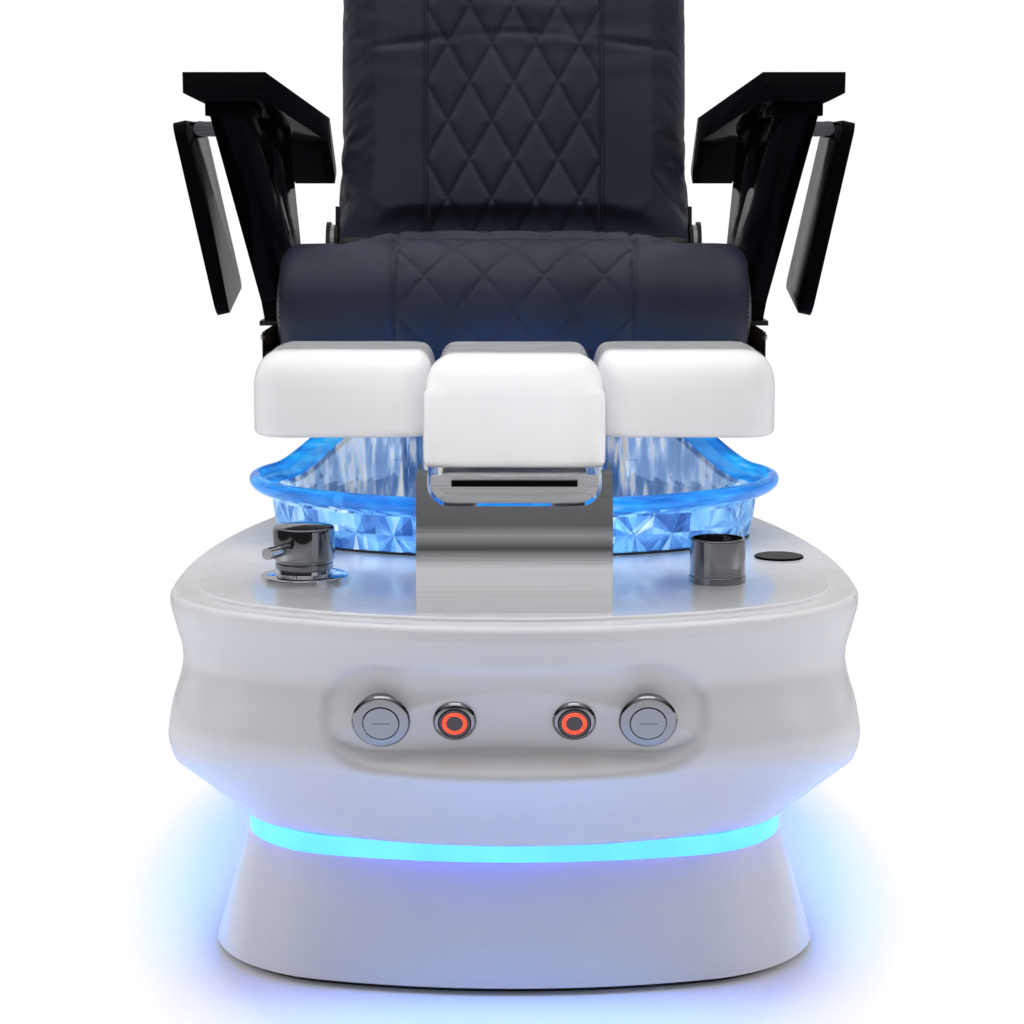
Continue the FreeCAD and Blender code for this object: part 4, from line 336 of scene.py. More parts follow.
@dataclass(frozen=True)
class Metal:
    """Bare metal: bright plating, or brushed along one axis.

    Bands of painted reflection darken it by height: each is a share of the height from low to high, and the
    tone there.
    """

    name: str
    colour: Colour
    roughness: float
    grain: Point = (1.0, 1.0, 1.0)
    grain_depth: float = 0.0
    metallic: float = 1.0
    bands: tuple[tuple[float, float], ...] = ()
    low: float = 0.0
    high: float = 1.0
    line_scale: float = 30.0
    line_tone: float = 0.985
    least_wear: float = 0.75
    most_wear: float = 1.3

    def material(self) -> Material:
        """Build the finish."""
        tree = ShaderTree(self.name)
        lines = tree.noise(self.line_scale, 4.0, tree.place(self.grain))
        darker = tuple(share * self.line_tone for share in self.colour)
        colour = tree.two_tone(lines, darker, self.colour, 0.35, 0.65)
        # Painted reflection: tones by height multiply the colour, like the dark and light bands on a bent sheet
        if self.bands:
            level = tree.span(tree.parts(tree.place())["Z"], 0.0, 1.0, self.low, self.high)
            tone = tree.tint(level, tuple((place, (share,) * 3) for place, share in self.bands))
            colour = tree.blend(1.0, colour, tone, "MULTIPLY")
        tree.dress(
            Base_Color=colour,
            Metallic=self.metallic,
            Roughness=tree.span(lines, self.roughness * self.least_wear, self.roughness * self.most_wear),
        )
        if self.grain_depth:
            tree.dress(Normal=tree.bump(lines, self.grain_depth))
        return tree.material


@dataclass(frozen=True)
class Leather:
    """Black upholstery leather with fine grain, and ribs on the quilted panels."""

    name: str
    dark: Colour = (0.0112, 0.0132, 0.0225)
    light: Colour = (0.0205, 0.0240, 0.0400)
    grain: float = 950.0
    grain_depth: float = 0.00012
    pore_width: float = 0.35
    fold_depth: float = 0.0006
    least_rough: float = 0.36
    most_rough: float = 0.47
    rib_scale: float = 0.0
    rib_depth: float = 0.00018
    rib_turn: Point = (0.0, 42.0, 0.0)

    def material(self) -> Material:
        """Build the finish."""
        tree = ShaderTree(self.name)
        cells = tree.add("TexVoronoi", {"Vector": tree.place(), "Scale": self.grain},
                         feature="DISTANCE_TO_EDGE")
        pores = tree.span(cells.outputs["Distance"], 0.0, 1.0, 0.0, self.pore_width)
        relief = tree.bump(tree.noise(24.0, 3.0), self.fold_depth, 0.4)
        relief = tree.bump(pores, self.grain_depth, 0.8, relief)
        if self.rib_scale:
            inputs = {"Vector": tree.place(turn=self.rib_turn), "Scale": self.rib_scale}
            wave = tree.add("TexWave", inputs, bands_direction="X")
            relief = tree.bump(wave.outputs["Fac"], self.rib_depth, 0.7, relief)
        tree.dress(
            Base_Color=tree.two_tone(tree.noise(9.0, 4.0), self.dark, self.light, 0.3, 0.72),
            Roughness=tree.span(tree.noise(60.0, 3.0), self.least_rough, self.most_rough),
            Specular_IOR_Level=0.5,
            Normal=relief,
        )
        return tree.material


@dataclass(frozen=True)
class CutGlass:
    """Clear blue-lit crystal with star facets in front and bright ray cuts behind; the blue light, glints and
    brightness are painted light in its emission.
    """

    name: str
    star_painted_light: Stops = (
        (0.0, (0.0, 0.01, 0.07)), (0.3, (0.0, 0.06, 0.30)), (0.55, (0.0, 0.22, 0.62)),
        (0.75, (0.02, 0.46, 0.85)), (0.9, (0.25, 0.62, 0.95)), (1.0, (0.8, 0.92, 1.0)))
    star_body: Stops = (
        (0.0, (0.08, 0.26, 0.62)), (0.3, (0.22, 0.50, 0.88)),
        (0.55, (0.52, 0.78, 1.0)), (0.8, (1.0, 1.0, 1.0)))
    ray_painted_light: Stops = (
        (0.34, (0.0, 0.02, 0.09)), (0.46, (0.01, 0.06, 0.20)), (0.53, (0.16, 0.22, 0.34)),
        (0.60, (0.55, 0.60, 0.68)), (0.645, (0.85, 0.68, 0.22)), (0.68, (0.7, 0.7, 0.75)))
    ray_body: Colour = (0.26, 0.40, 0.62)
    ray_scale: float = 34.0
    ray_stretch: Point = (3.2, 1.0, 0.45)
    ray_turn: Point = (0.0, 14.0, 0.0)
    sectors: int = 16
    facet_depth: float = 0.0020
    clearness: float = 0.74
    index: float = GLASS_INDEX
    behind: tuple[float, float] = (0.03, 0.09)
    middle_strength: float = 0.55
    side_strength: float = 0.26
    aside: tuple[float, float] = (0.10, 0.25)

    def facets(self, tree: ShaderTree) -> NodeSocket:
        """One random tone per facet of each star.

        Args:
            tree: The finish being built.

        Returns:
            The tone socket, from 0 to 1.
        """
        cuts = tree.add("Attribute", attribute_name="cuts").outputs["Vector"]
        cell = tree.vector("FLOOR", cuts)
        inside = tree.vector("SUBTRACT", cuts, cell)
        parts = tree.parts(tree.vector("SUBTRACT", inside, (0.5, 0.5, 0.0)))
        angle = tree.number("ARCTAN2", parts["Y"], parts["X"])
        sector = tree.number("FLOOR", tree.number("MULTIPLY", angle, self.sectors / math.tau))
        tag = tree.add("CombineXYZ", {"Z": sector}).outputs["Vector"]
        return tree.add("TexWhiteNoise", {"Vector": tree.vector("ADD", cell, tag)}).outputs["Value"]

    def material(self) -> Material:
        """Build the finish."""
        tree = ShaderTree(self.name)
        tone = self.facets(tree)
        rays = tree.noise(self.ray_scale, 3.0, tree.place(self.ray_stretch, self.ray_turn))
        where = tree.parts(tree.place())
        behind = tree.span(where["Y"], 0.0, 1.0, *self.behind)
        aside = tree.number("ABSOLUTE", where["X"])
        tree.dress(
            Base_Color=tree.blend(behind, tree.tint(tone, self.star_body), (*self.ray_body, 1.0)),
            Roughness=tree.span(tree.noise(90.0), 0.01, 0.05),
            Transmission_Weight=self.clearness,
            IOR=self.index,
            # Emission is painted light: blue light and white glints on the stars, grey and yellow glints on the
            # rays behind, stronger in the middle than aside
            Emission_Color=tree.blend(behind, tree.tint(tone, self.star_painted_light), tree.tint(rays, self.ray_painted_light)),
            Emission_Strength=tree.span(aside, self.middle_strength, self.side_strength, *self.aside),
            Normal=tree.bump(tone, self.facet_depth, 0.8),
        )
        return tree.material


@dataclass(frozen=True)
class RimGlass:
    """Thick rolled edge of the crystal, saturated by the blue light inside it."""

    name: str
    body: Colour = (0.04, 0.30, 0.74)
    glow: Stops = (
        (0.34, (0.0, 0.02, 0.14)), (0.46, (0.0, 0.10, 0.42)), (0.54, (0.0, 0.26, 0.72)),
        (0.62, (0.0, 0.50, 0.90)), (0.70, (0.35, 0.78, 1.0)))
    strength: float = 0.36
    clearness: float = 0.6
    index: float = GLASS_INDEX
    streak_scale: float = 26.0
    streak_stretch: Point = (0.5, 0.5, 3.0)
    streak_depth: float = 0.0015

    def material(self) -> Material:
        """Build the finish."""
        tree = ShaderTree(self.name)
        streaks = tree.noise(self.streak_scale, 3.0, tree.place(self.streak_stretch))
        tree.dress(
            Base_Color=self.body,
            Roughness=tree.span(streaks, 0.02, 0.08),
            Transmission_Weight=self.clearness,
            IOR=self.index,
            Emission_Color=tree.tint(streaks, self.glow),
            Emission_Strength=self.strength,
            Normal=tree.bump(streaks, self.streak_depth, 0.4),
        )
        return tree.material


@dataclass(frozen=True)
class Glow:
    """Lit diffuser, a little uneven along its length."""

    name: str
    dim: Colour
    bright: Colour
    strength: float
    scale: float = 14.0
    roughness: float = 0.35

    def material(self) -> Material:
        """Build the finish."""
        tree = ShaderTree(self.name)
        tone = tree.two_tone(tree.noise(self.scale), self.dim, self.bright)
        tree.dress(Base_Color=self.bright, Roughness=self.roughness, Emission_Color=tone,
                   Emission_Strength=self.strength)
        return tree.material


@dataclass(frozen=True)
class Plywood:
    """Plain board under the seat cushion."""

    name: str
    dark: Colour = (0.36, 0.23, 0.12)
    light: Colour = (0.55, 0.40, 0.24)
    stretch: Point = (1.0, 14.0, 9.0)

    def material(self) -> Material:
        """Build the finish."""
        tree = ShaderTree(self.name)
        fibre = tree.noise(7.0, 6.0, tree.place(self.stretch))
        tree.dress(
            Base_Color=tree.two_tone(fibre, self.dark, self.light),
            Roughness=tree.span(fibre, 0.5, 0.68),
            Normal=tree.bump(fibre, 0.0004, 0.6),
        )
        return tree.material


class Palette:
    """Every finish of the bench: one per material slot, and further ones for single pieces."""

    def __init__(self) -> None:
        """Build all finishes."""
        brushed = (0.05, 3.0, 60.0)
        finishes = {
            # This gelcoat and the pads' one are copies of one finish; this one is darker, and the gap is
            # painted shade on the tub
            Slot.GLOSS_WHITE: Moulded("white_gelcoat", (0.73, 0.73, 0.755), (0.77, 0.77, 0.79),
                                      roughness=0.22, coat=0.5),
            Slot.BASE_BLACK: Moulded("black_base_plastic", (0.018, 0.018, 0.019), (0.03, 0.03, 0.031),
                                     roughness=0.5, peel=0.0002, peel_scale=400.0),
            Slot.BLACK_GLOSS: Moulded("piano_black", (0.0020, 0.0020, 0.0026), (0.0032, 0.0032, 0.0040),
                                      roughness=0.10, peel=0.00003, peel_scale=60.0, gloss=0.025),
            Slot.CHROME: Metal("chrome_plate", (0.80, 0.81, 0.83), roughness=0.045),
            Slot.BRUSHED_STEEL: Metal("brushed_steel", (0.66, 0.66, 0.675), roughness=0.30, grain=brushed,
                                      grain_depth=0.000001, metallic=0.55),
            Slot.CLEAR_GLASS: CutGlass("cut_crystal"),
            Slot.BLUE_LIGHT: Glow("blue_light_band", (0.009, 0.049, 1.0), (0.012, 0.058, 1.0), strength=16.0),
            Slot.ORANGE_LIGHT: Glow("orange_light_ring", (1.0, 0.035, 0.010), (1.0, 0.075, 0.022),
                                    strength=1.15, scale=400.0),
            Slot.BLACK_RUBBER: Moulded("black_rubber", (0.012, 0.012, 0.012), (0.022, 0.022, 0.022),
                                       roughness=0.62, peel=0.0003, peel_scale=500.0),
            Slot.GREY_PLASTIC: Moulded("grey_pipe_plastic", (0.14, 0.145, 0.15), (0.2, 0.205, 0.21),
                                       roughness=0.4, peel=0.0001, peel_scale=300.0),
            Slot.FRAME_PAINT: Moulded("black_frame_paint", (0.010, 0.010, 0.011), (0.018, 0.018, 0.019),
                                      roughness=0.42, peel=0.0002, peel_scale=700.0),
            Slot.SEAT_BOARD: Plywood("seat_plywood"),
            Slot.BLACK_LEATHER: Leather("black_leather"),
        }
        self.by_slot = {slot: finish.material() for slot, finish in finishes.items()}
        self.ribbed = Leather("ribbed_black_leather", rib_scale=190.0).material()
        # Chrome made darker: its grey is painted dark reflection, on the bezels and large buttons
        self.nickel_painted_grey = Metal("nickel_with_painted_reflection", (0.34, 0.345, 0.36), roughness=0.12).material()
        # Footrest cover: its bands are painted reflection, light low down and dark across the bend above
        self.bent_steel_painted_reflection = Metal(
            "bent_brushed_steel_painted_reflection", (0.96, 0.955, 0.975), roughness=0.34, grain=brushed,
            grain_depth=0.0000005, metallic=0.42, low=0.41, high=0.55,
            bands=((0.0, 0.90), (0.31, 0.92), (0.455, 0.09), (0.55, 0.42), (0.62, 0.14), (1.0, 0.16)),
        ).material()
        # Dark, with a red cast: painted shade and painted orange light from the ring, on the ring buttons
        self.nickel_painted_red_shade = Metal("nickel_painted_red_shade", (0.10, 0.085, 0.085), roughness=0.16).material()
        # Lighter copy of the tub's gelcoat: the extra lightness is painted light on the pads
        self.pad_white_painted_lighter = Moulded("white_pad_gelcoat", (0.80, 0.795, 0.81), (0.83, 0.825, 0.84),
                                 roughness=0.20, coat=0.5).material()
        # Chrome made darker: its darkness is painted dark reflection, on the knob and sprayer
        self.chrome_painted_dark = Metal("chrome_painted_dark", (0.34, 0.35, 0.37), roughness=0.05).material()
        self.basin_glow = Glow("basin_light_ring", (0.012, 0.16, 1.0), (0.02, 0.22, 1.0),
                               strength=3.0).material()
        self.rim_glass = RimGlass("blue_rim_glass").material()
        self.thread = Moulded("black_thread", (0.014, 0.014, 0.018), (0.045, 0.045, 0.055),
                              roughness=0.55, peel=0.0003, peel_scale=1500.0).material()

    def __getitem__(self, slot: Slot) -> Material:
        """The finish of a slot."""
        return self.by_slot[slot]


# Mesh work shared by the sub-assemblies


def smoothstep(value: np.ndarray) -> np.ndarray:
    """Smooth rise from 0 to 1 over 0 to 1."""
    share = np.clip(value, 0.0, 1.0)
    return share * share * (3.0 - 2.0 * share)


def shaded(mesh: Mesh, sharp: float = 0.0) -> None:
    """Shade a mesh smoothly, except at edges past a sharp angle in degrees if one is given."""
    mesh.polygons.foreach_set("use_smooth", [True] * len(mesh.polygons))
    if sharp:
        mesh.set_sharp_from_angle(angle=math.radians(sharp))


def finished(bm: BMesh, name: str, materials: Sequence[Material], sharp: float) -> Object:
    """Turn a bmesh into an object at the origin.

    Args:
        bm: The mesh, which is freed.
        name: Name of the object.
        materials: Its finishes, first slot first.
        sharp: Angle in degrees past which an edge stays sharp; 0 keeps every face flat.

    Returns:
        The new object.
    """
    mesh = bpy.data.meshes.new(name)
    bm.to_mesh(mesh)
    bm.free()
    obj = bpy.data.objects.new(name, mesh)
    bpy.context.scene.collection.objects.link(obj)
    for material in materials:
        mesh.materials.append(material)
    if sharp:
        shaded(mesh, sharp)
    return obj


def mapped_grid(columns: int, rows: int, place: Callable[[np.ndarray, np.ndarray], np.ndarray],
                loop_rows: bool = False) -> BMesh:
    """Grid carried onto a closed band.

    Args:
        columns: Steps round the band; its two ends are joined.
        rows: Steps across the band.
        place: Gives points for shares along columns and rows, each from 0 to 1.
        loop_rows: Whether the first and last rows meet as well.

    Returns:
        The mesh.
    """
    bm = bmesh.new()
    bmesh.ops.create_grid(bm, x_segments=columns, y_segments=rows, size=0.5)
    shares = np.array([vert.co[:2] for vert in bm.verts]) + 0.5
    for vert, point in zip(bm.verts, place(shares[:, 0], shares[:, 1])):
        vert.co = point
    edge = np.abs(shares[:, 0] - 0.5) > 0.4999
    if loop_rows:
        edge |= np.abs(shares[:, 1] - 0.5) > 0.4999
    bmesh.ops.remove_doubles(bm, verts=[vert for vert, on in zip(bm.verts, edge) if on], dist=1e-6)
    return bm


def closed(bm: BMesh) -> BMesh:
    """Close every open loop with one face and point all faces outwards."""
    open_edges = [edge for edge in bm.edges if edge.is_boundary]
    if open_edges:
        bmesh.ops.holes_fill(bm, edges=open_edges, sides=0)
    bmesh.ops.recalc_face_normals(bm, faces=bm.faces)
    return bm


def turned(profile: Sequence[tuple[float, float]], centre: Vector, axis: Vector, steps: int) -> BMesh:
    """Solid of revolution.

    Args:
        profile: Radius and height of each point; its ends lie on the axis, or meet for a ring.
        centre: Where height is zero.
        axis: Direction of height.
        steps: Steps of a full turn.

    Returns:
        The closed mesh.
    """
    bm = bmesh.new()
    side = axis.orthogonal().normalized()
    verts = [bm.verts.new(centre + side * radius + axis * height) for radius, height in profile]
    edges = [bm.edges.new(pair) for pair in zip(verts, verts[1:])]
    bmesh.ops.spin(bm, geom=verts + edges, cent=centre, axis=axis, dvec=(0, 0, 0),
                   angle=math.tau, steps=steps, use_merge=True, use_duplicate=False)
    bmesh.ops.remove_doubles(bm, verts=bm.verts, dist=1e-6)
    bmesh.ops.recalc_face_normals(bm, faces=bm.faces)
    return bm


def rounded_profile(points: Sequence[tuple[float, float, float]], steps: int = 6) -> list[tuple[float, float]]:
    """Profile with its corners rounded.

    Args:
        points: Radius, height and corner radius of each point.
        steps: Steps of each rounded corner.

    Returns:
        Radius and height of each point of the rounded profile.
    """
    result: list[tuple[float, float]] = []
    for index, (x, z, size) in enumerate(points):
        if size == 0 or index in (0, len(points) - 1):
            result.append((x, z))
            continue
        here = Vector((x, z))
        before = (Vector(points[index - 1][:2]) - here).normalized()
        after = (Vector(points[index + 1][:2]) - here).normalized()
        reach = size / math.tan(before.angle(after) / 2)
        start, end = here + before * reach, here + after * reach
        for step in range(steps + 1):
            share = step / steps
            point = start.lerp(here, share).lerp(here.lerp(end, share), share)
            result.append((point.x, point.y))
    return result


def block(low: Sequence[float], high: Sequence[float]) -> BMesh:
    """Box between two corners."""
    bm = bmesh.new()
    bmesh.ops.create_cube(bm, size=1.0)
    size = Vector(high) - Vector(low)
    bmesh.ops.scale(bm, vec=size, verts=bm.verts)
    bmesh.ops.translate(bm, vec=(Vector(low) + Vector(high)) / 2, verts=bm.verts)
    return bm


def round_edges(bm: BMesh, test: Callable[[BMEdge], bool], radius: float, segments: int = 6) -> None:
    """Round the edges that pass a test.

    Args:
        bm: The mesh.
        test: Whether an edge is rounded.
        radius: Size of the rounding.
        segments: Steps of the rounding.
    """
    edges = [edge for edge in bm.edges if test(edge)]
    bmesh.ops.bevel(bm, geom=edges, offset=radius, offset_type="OFFSET", segments=segments, profile=0.5,
                    affect="EDGES", clamp_overlap=True, material=-1)


def runs_along(edge: BMEdge, axis: int) -> bool:
    """Whether an edge runs along an axis, counted from 0 for X."""
    run = edge.verts[1].co - edge.verts[0].co
    return abs(run[axis]) > 0.9 * run.length


def folded(edge: BMEdge) -> bool:
    """Whether the faces beside an edge meet at a clear angle."""
    return edge.calc_face_angle(0) > 0.8


def add_form(bm: BMesh, form: BMesh) -> None:
    """Add a form to a mesh, and free the form."""
    mesh = bpy.data.meshes.new("form")
    form.to_mesh(mesh)
    form.free()
    bm.from_mesh(mesh)
    bpy.data.meshes.remove(mesh)


def measured(items: bpy.types.bpy_prop_collection, key: str) -> np.ndarray:
    """One measure of all points or faces of a mesh, with a row of three numbers for each."""
    values = np.empty(len(items) * 3)
    items.foreach_get(key, values)
    return values.reshape(-1, 3)


def mesh_points(obj: Object) -> np.ndarray:
    """All points of a mesh."""
    return measured(obj.data.vertices, "co")


def set_points(obj: Object, points: np.ndarray) -> None:
    """Move all points of a mesh."""
    obj.data.vertices.foreach_set("co", points.ravel())
    obj.data.update()


def apply_modifiers(obj: Object) -> None:
    """Bake an object's modifiers into its mesh."""
    graph = bpy.context.evaluated_depsgraph_get()
    baked = bpy.data.meshes.new_from_object(obj.evaluated_get(graph))
    obj.modifiers.clear()
    obj.data = baked


def remeshed(obj: Object, voxel: float) -> None:
    """Give an object one even skin of small quads."""
    modifier = obj.modifiers.new("Skin", "REMESH")
    modifier.mode = "VOXEL"
    modifier.voxel_size = voxel
    modifier.use_smooth_shade = True
    apply_modifiers(obj)


def refined(obj: Object) -> None:
    """Add one level of subdivision."""
    modifier = obj.modifiers.new("Finer", "SUBSURF")
    modifier.levels = 1
    modifier.render_levels = 1
    apply_modifiers(obj)


def softened(node: str, name: str, materials: Sequence[Material], width: float,
             segments: int = 3, angle: float = 32.0) -> Object:
    """Copy of a CAD node with its sharp edges rounded over.

    Args:
        node: Name of the node.
        name: Name of the new piece.
        materials: Finishes of the new piece.
        width: Size of the rounding.
        segments: Steps of the rounding.
        angle: Angle in degrees past which an edge is rounded.

    Returns:
        The new piece, which replaces the node.
    """
    bm = bmesh.new()
    bm.from_mesh(bpy.data.objects[node].data)
    bmesh.ops.remove_doubles(bm, verts=bm.verts, dist=2e-6)
    bmesh.ops.dissolve_limit(bm, angle_limit=math.radians(1.0), verts=bm.verts, edges=bm.edges)
    obj = finished(bm, name, materials, 0)
    bevel = obj.modifiers.new("Edges", "BEVEL")
    bevel.width = width
    bevel.segments = segments
    bevel.limit_method = "ANGLE"
    bevel.angle_limit = math.radians(angle)
    bevel.harden_normals = False
    apply_modifiers(obj)
    shaded(obj.data, angle)
    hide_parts(node)
    return obj


def place_on(obj: Object, body: Body) -> None:
    """Put a new piece on its body."""
    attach(obj, body.value)
    LOG.info("%s rides on %s", obj.name, body.value)


# Outlines


@dataclass(frozen=True)
class Egg:
    """Egg-shaped outline of six tangent arcs, sampled evenly along its length."""

    half_width: float
    front: float
    rear: float
    front_share: float
    widest_share: float = 0.278
    corner_share: float = 0.507
    side_share: float = 0.4253

    def arcs(self) -> list[tuple[Vector, float, float, float]]:
        """Arcs of the right-hand half.

        Returns:
            Centre, radius, first and last normal angle of each arc, from the front to the rear.
        """
        widest = self.front + self.widest_share * (self.rear - self.front)
        nose_radius = self.front_share * self.half_width
        corner_radius = self.corner_share * self.half_width
        side_radius = self.side_share * (self.rear - self.front) ** 2 / self.half_width
        side = Vector((self.half_width - side_radius, widest))
        nose = Vector((0.0, self.front + nose_radius))
        surplus = side_radius - self.rear
        tail_y = (side.x ** 2 + widest ** 2 - surplus ** 2) / (2 * (surplus + widest))
        tail = Vector((0.0, tail_y))
        reach = (nose_radius - corner_radius, side_radius - corner_radius)
        between = side - nose
        along = (between.length_squared + reach[0] ** 2 - reach[1] ** 2) / (2 * between.length)
        across = math.sqrt(reach[0] ** 2 - along ** 2)
        unit = between.normalized()
        across_unit = Vector((-unit.y, unit.x))
        corner = min((nose + unit * along + across_unit * across * sign for sign in (1, -1)), key=lambda p: p.y)

        def heading(vector: Vector) -> float:
            return math.atan2(vector.y, vector.x)

        first, second, third = heading(corner - nose), heading(corner - side), heading(tail - side)
        quarter = math.pi / 2
        return [(nose, nose_radius, -quarter, first), (corner, corner_radius, first, second),
                (side, side_radius, second, third), (tail, self.rear - tail_y, third, quarter)]

    def at(self, share: np.ndarray, offset: np.ndarray) -> np.ndarray:
        """Points at shares of the way round, counted from the front over the right side.

        Args:
            share: Share of the full outline, from 0 to 1.
            offset: Distance outwards at each point.

        Returns:
            X and Y of each point.
        """
        arcs = self.arcs()
        lengths = np.cumsum([0.0] + [radius * (end - start) for _, radius, start, end in arcs])
        wrapped = np.mod(share, 1.0) * 2.0
        mirror = np.where(wrapped > 1.0, -1.0, 1.0)
        run = np.where(wrapped > 1.0, 2.0 - wrapped, wrapped) * lengths[-1]
        points = np.zeros((len(share), 2))
        for index, (centre, radius, start, _) in enumerate(arcs):
            inside = (run >= lengths[index]) & (run <= lengths[index + 1])
            angle = start + (run - lengths[index]) / radius
            points[inside, 0] = (centre.x + (radius + offset) * np.cos(angle))[inside]
            points[inside, 1] = (centre.y + (radius + offset) * np.sin(angle))[inside]
        points[:, 0] *= mirror
        return points


TUB_EGG = Egg(0.375, -0.575, 0.575, 1.49)


# Tub, deck and controls


@dataclass(frozen=True)
class Panel:
    """Plane of the control panel in the tub's front; it leans back by an angle in degrees."""

    y: float = -0.548
    z: float = 0.30376
    lean: float = 17.0


@dataclass
class Tub:
    """Egg-shaped gelcoat tub with a creased belly and a soft control recess in its front."""

    floor: float = 0.158
    rim: float = 0.389
    wall: float = 0.006
    sections: tuple[tuple[float, float], ...] = (
        (0.0, -0.208), (0.12, -0.149), (0.24, -0.088), (0.345, -0.034), (0.372, -0.020), (0.388, -0.010),
        (0.42, 0.003), (0.47, 0.013), (0.58, 0.004), (0.76, -0.033), (0.92, -0.012), (1.0, 0.0))
    crease: float = 0.381
    crease_drop: float = 0.050
    crease_end: float = 0.80
    crease_y: float = 0.25
    crease_run: float = 0.30
    recess_half_width: float = 0.200
    recess_half_height: float = 0.062
    recess_blend: float = 0.014
    recess_softness: float = 2.2
    recess_depth_min: float = 0.0045
    panel: Panel = Panel()
    steps_round: int = 680
    steps_up: int = 92
    inner_stride: int = 7

    def offset_at(self, share: np.ndarray) -> np.ndarray:
        """Offset of the wall at shares of its height, by smooth curves through the sections."""
        places = np.array([place for place, _ in self.sections])
        values = np.array([value for _, value in self.sections]) * TUB_EGG.half_width
        slopes = np.gradient(values, places)
        index = np.clip(np.searchsorted(places, share, side="right") - 1, 0, len(places) - 2)
        gap = places[index + 1] - places[index]
        t = (share - places[index]) / gap
        return ((2 * t ** 3 - 3 * t ** 2 + 1) * values[index] + (t ** 3 - 2 * t ** 2 + t) * gap * slopes[index]
                + (3 * t ** 2 - 2 * t ** 3) * values[index + 1] + (t ** 3 - t ** 2) * gap * slopes[index + 1])

    def drop_at(self, share: np.ndarray, y: np.ndarray) -> np.ndarray:
        """How far the crease and its neighbourhood lie lower than at the front."""
        front = smoothstep((-y - self.crease_y) / self.crease_run)
        near = np.minimum(share / self.crease, (self.crease_end - share) / (self.crease_end - self.crease))
        return self.crease_drop * (1 - front) * np.clip(near, 0, 1)

    def sink(self, points: np.ndarray, inner: np.ndarray) -> np.ndarray:
        """Press the control recess into the front wall.

        Args:
            points: Points of the wall.
            inner: 1 for points of the wall's inside, 0 outside.

        Returns:
            The pressed points.
        """
        run = self.recess_half_width - self.recess_half_height
        beside = np.maximum(np.abs(points[:, 0]) - run, 0.0)
        depth_in = self.recess_half_height - np.hypot(beside, points[:, 2] - self.panel.z)
        below = smoothstep((self.panel.z - points[:, 2]) / self.recess_half_height)
        blend = self.recess_blend * (1.0 + self.recess_softness * below)
        share = smoothstep(depth_in / blend) * (points[:, 1] < 0)
        slope = math.tan(math.radians(self.panel.lean))
        plane = self.panel.y - (points[:, 2] - self.panel.z) * slope + inner * self.wall
        points[:, 1] += share * np.maximum(plane - points[:, 1], self.recess_depth_min)
        return points

    def build(self, palette: Palette) -> None:
        """Make the tub's shell."""
        outer = np.linspace(0.0, 1.0, self.steps_up)
        shares = np.concatenate([outer, outer[::-self.inner_stride]])
        inner = (np.arange(len(shares)) >= len(outer)).astype(float)
        offsets = self.offset_at(shares) - inner * self.wall
        steps = len(offsets) - 1

        def place(u: np.ndarray, v: np.ndarray) -> np.ndarray:
            row = np.rint(v * steps).astype(int)
            flat = TUB_EGG.at(u, offsets[row])
            z = self.floor + shares[row] * (self.rim - self.floor) - self.drop_at(shares[row], flat[:, 1])
            z = np.where(row == steps, self.floor + self.wall, z)
            return self.sink(np.column_stack([flat, z]), inner[row])

        bm = closed(mapped_grid(self.steps_round, steps, place))
        tub = finished(bm, "tub_gelcoat_shell", [palette[Slot.GLOSS_WHITE]], 50.0)
        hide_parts("tub_shell")
        place_on(tub, Body.BASE)


@dataclass(frozen=True)
class Station:
    """Place in the section of the bowl's glass.

    Inset is measured from the widest line, width is a share of it, rise is a share of the rim's
    height, height starts at the bowl's bottom, and cut is a share of the stars' depth.
    """

    inset: float
    width: float
    rise: float
    height: float
    cut: float = 0.0

    def row(self) -> np.ndarray:
        """All five values in order."""
        return np.array([self.inset, self.width, self.rise, self.height, self.cut])

    def towards(self, other: Station, start: float, end: float, count: int) -> list[np.ndarray]:
        """Rows on the straight way to another station, from one share of the way to another."""
        return [self.row() + (other.row() - self.row()) * share for share in np.linspace(start, end, count)]


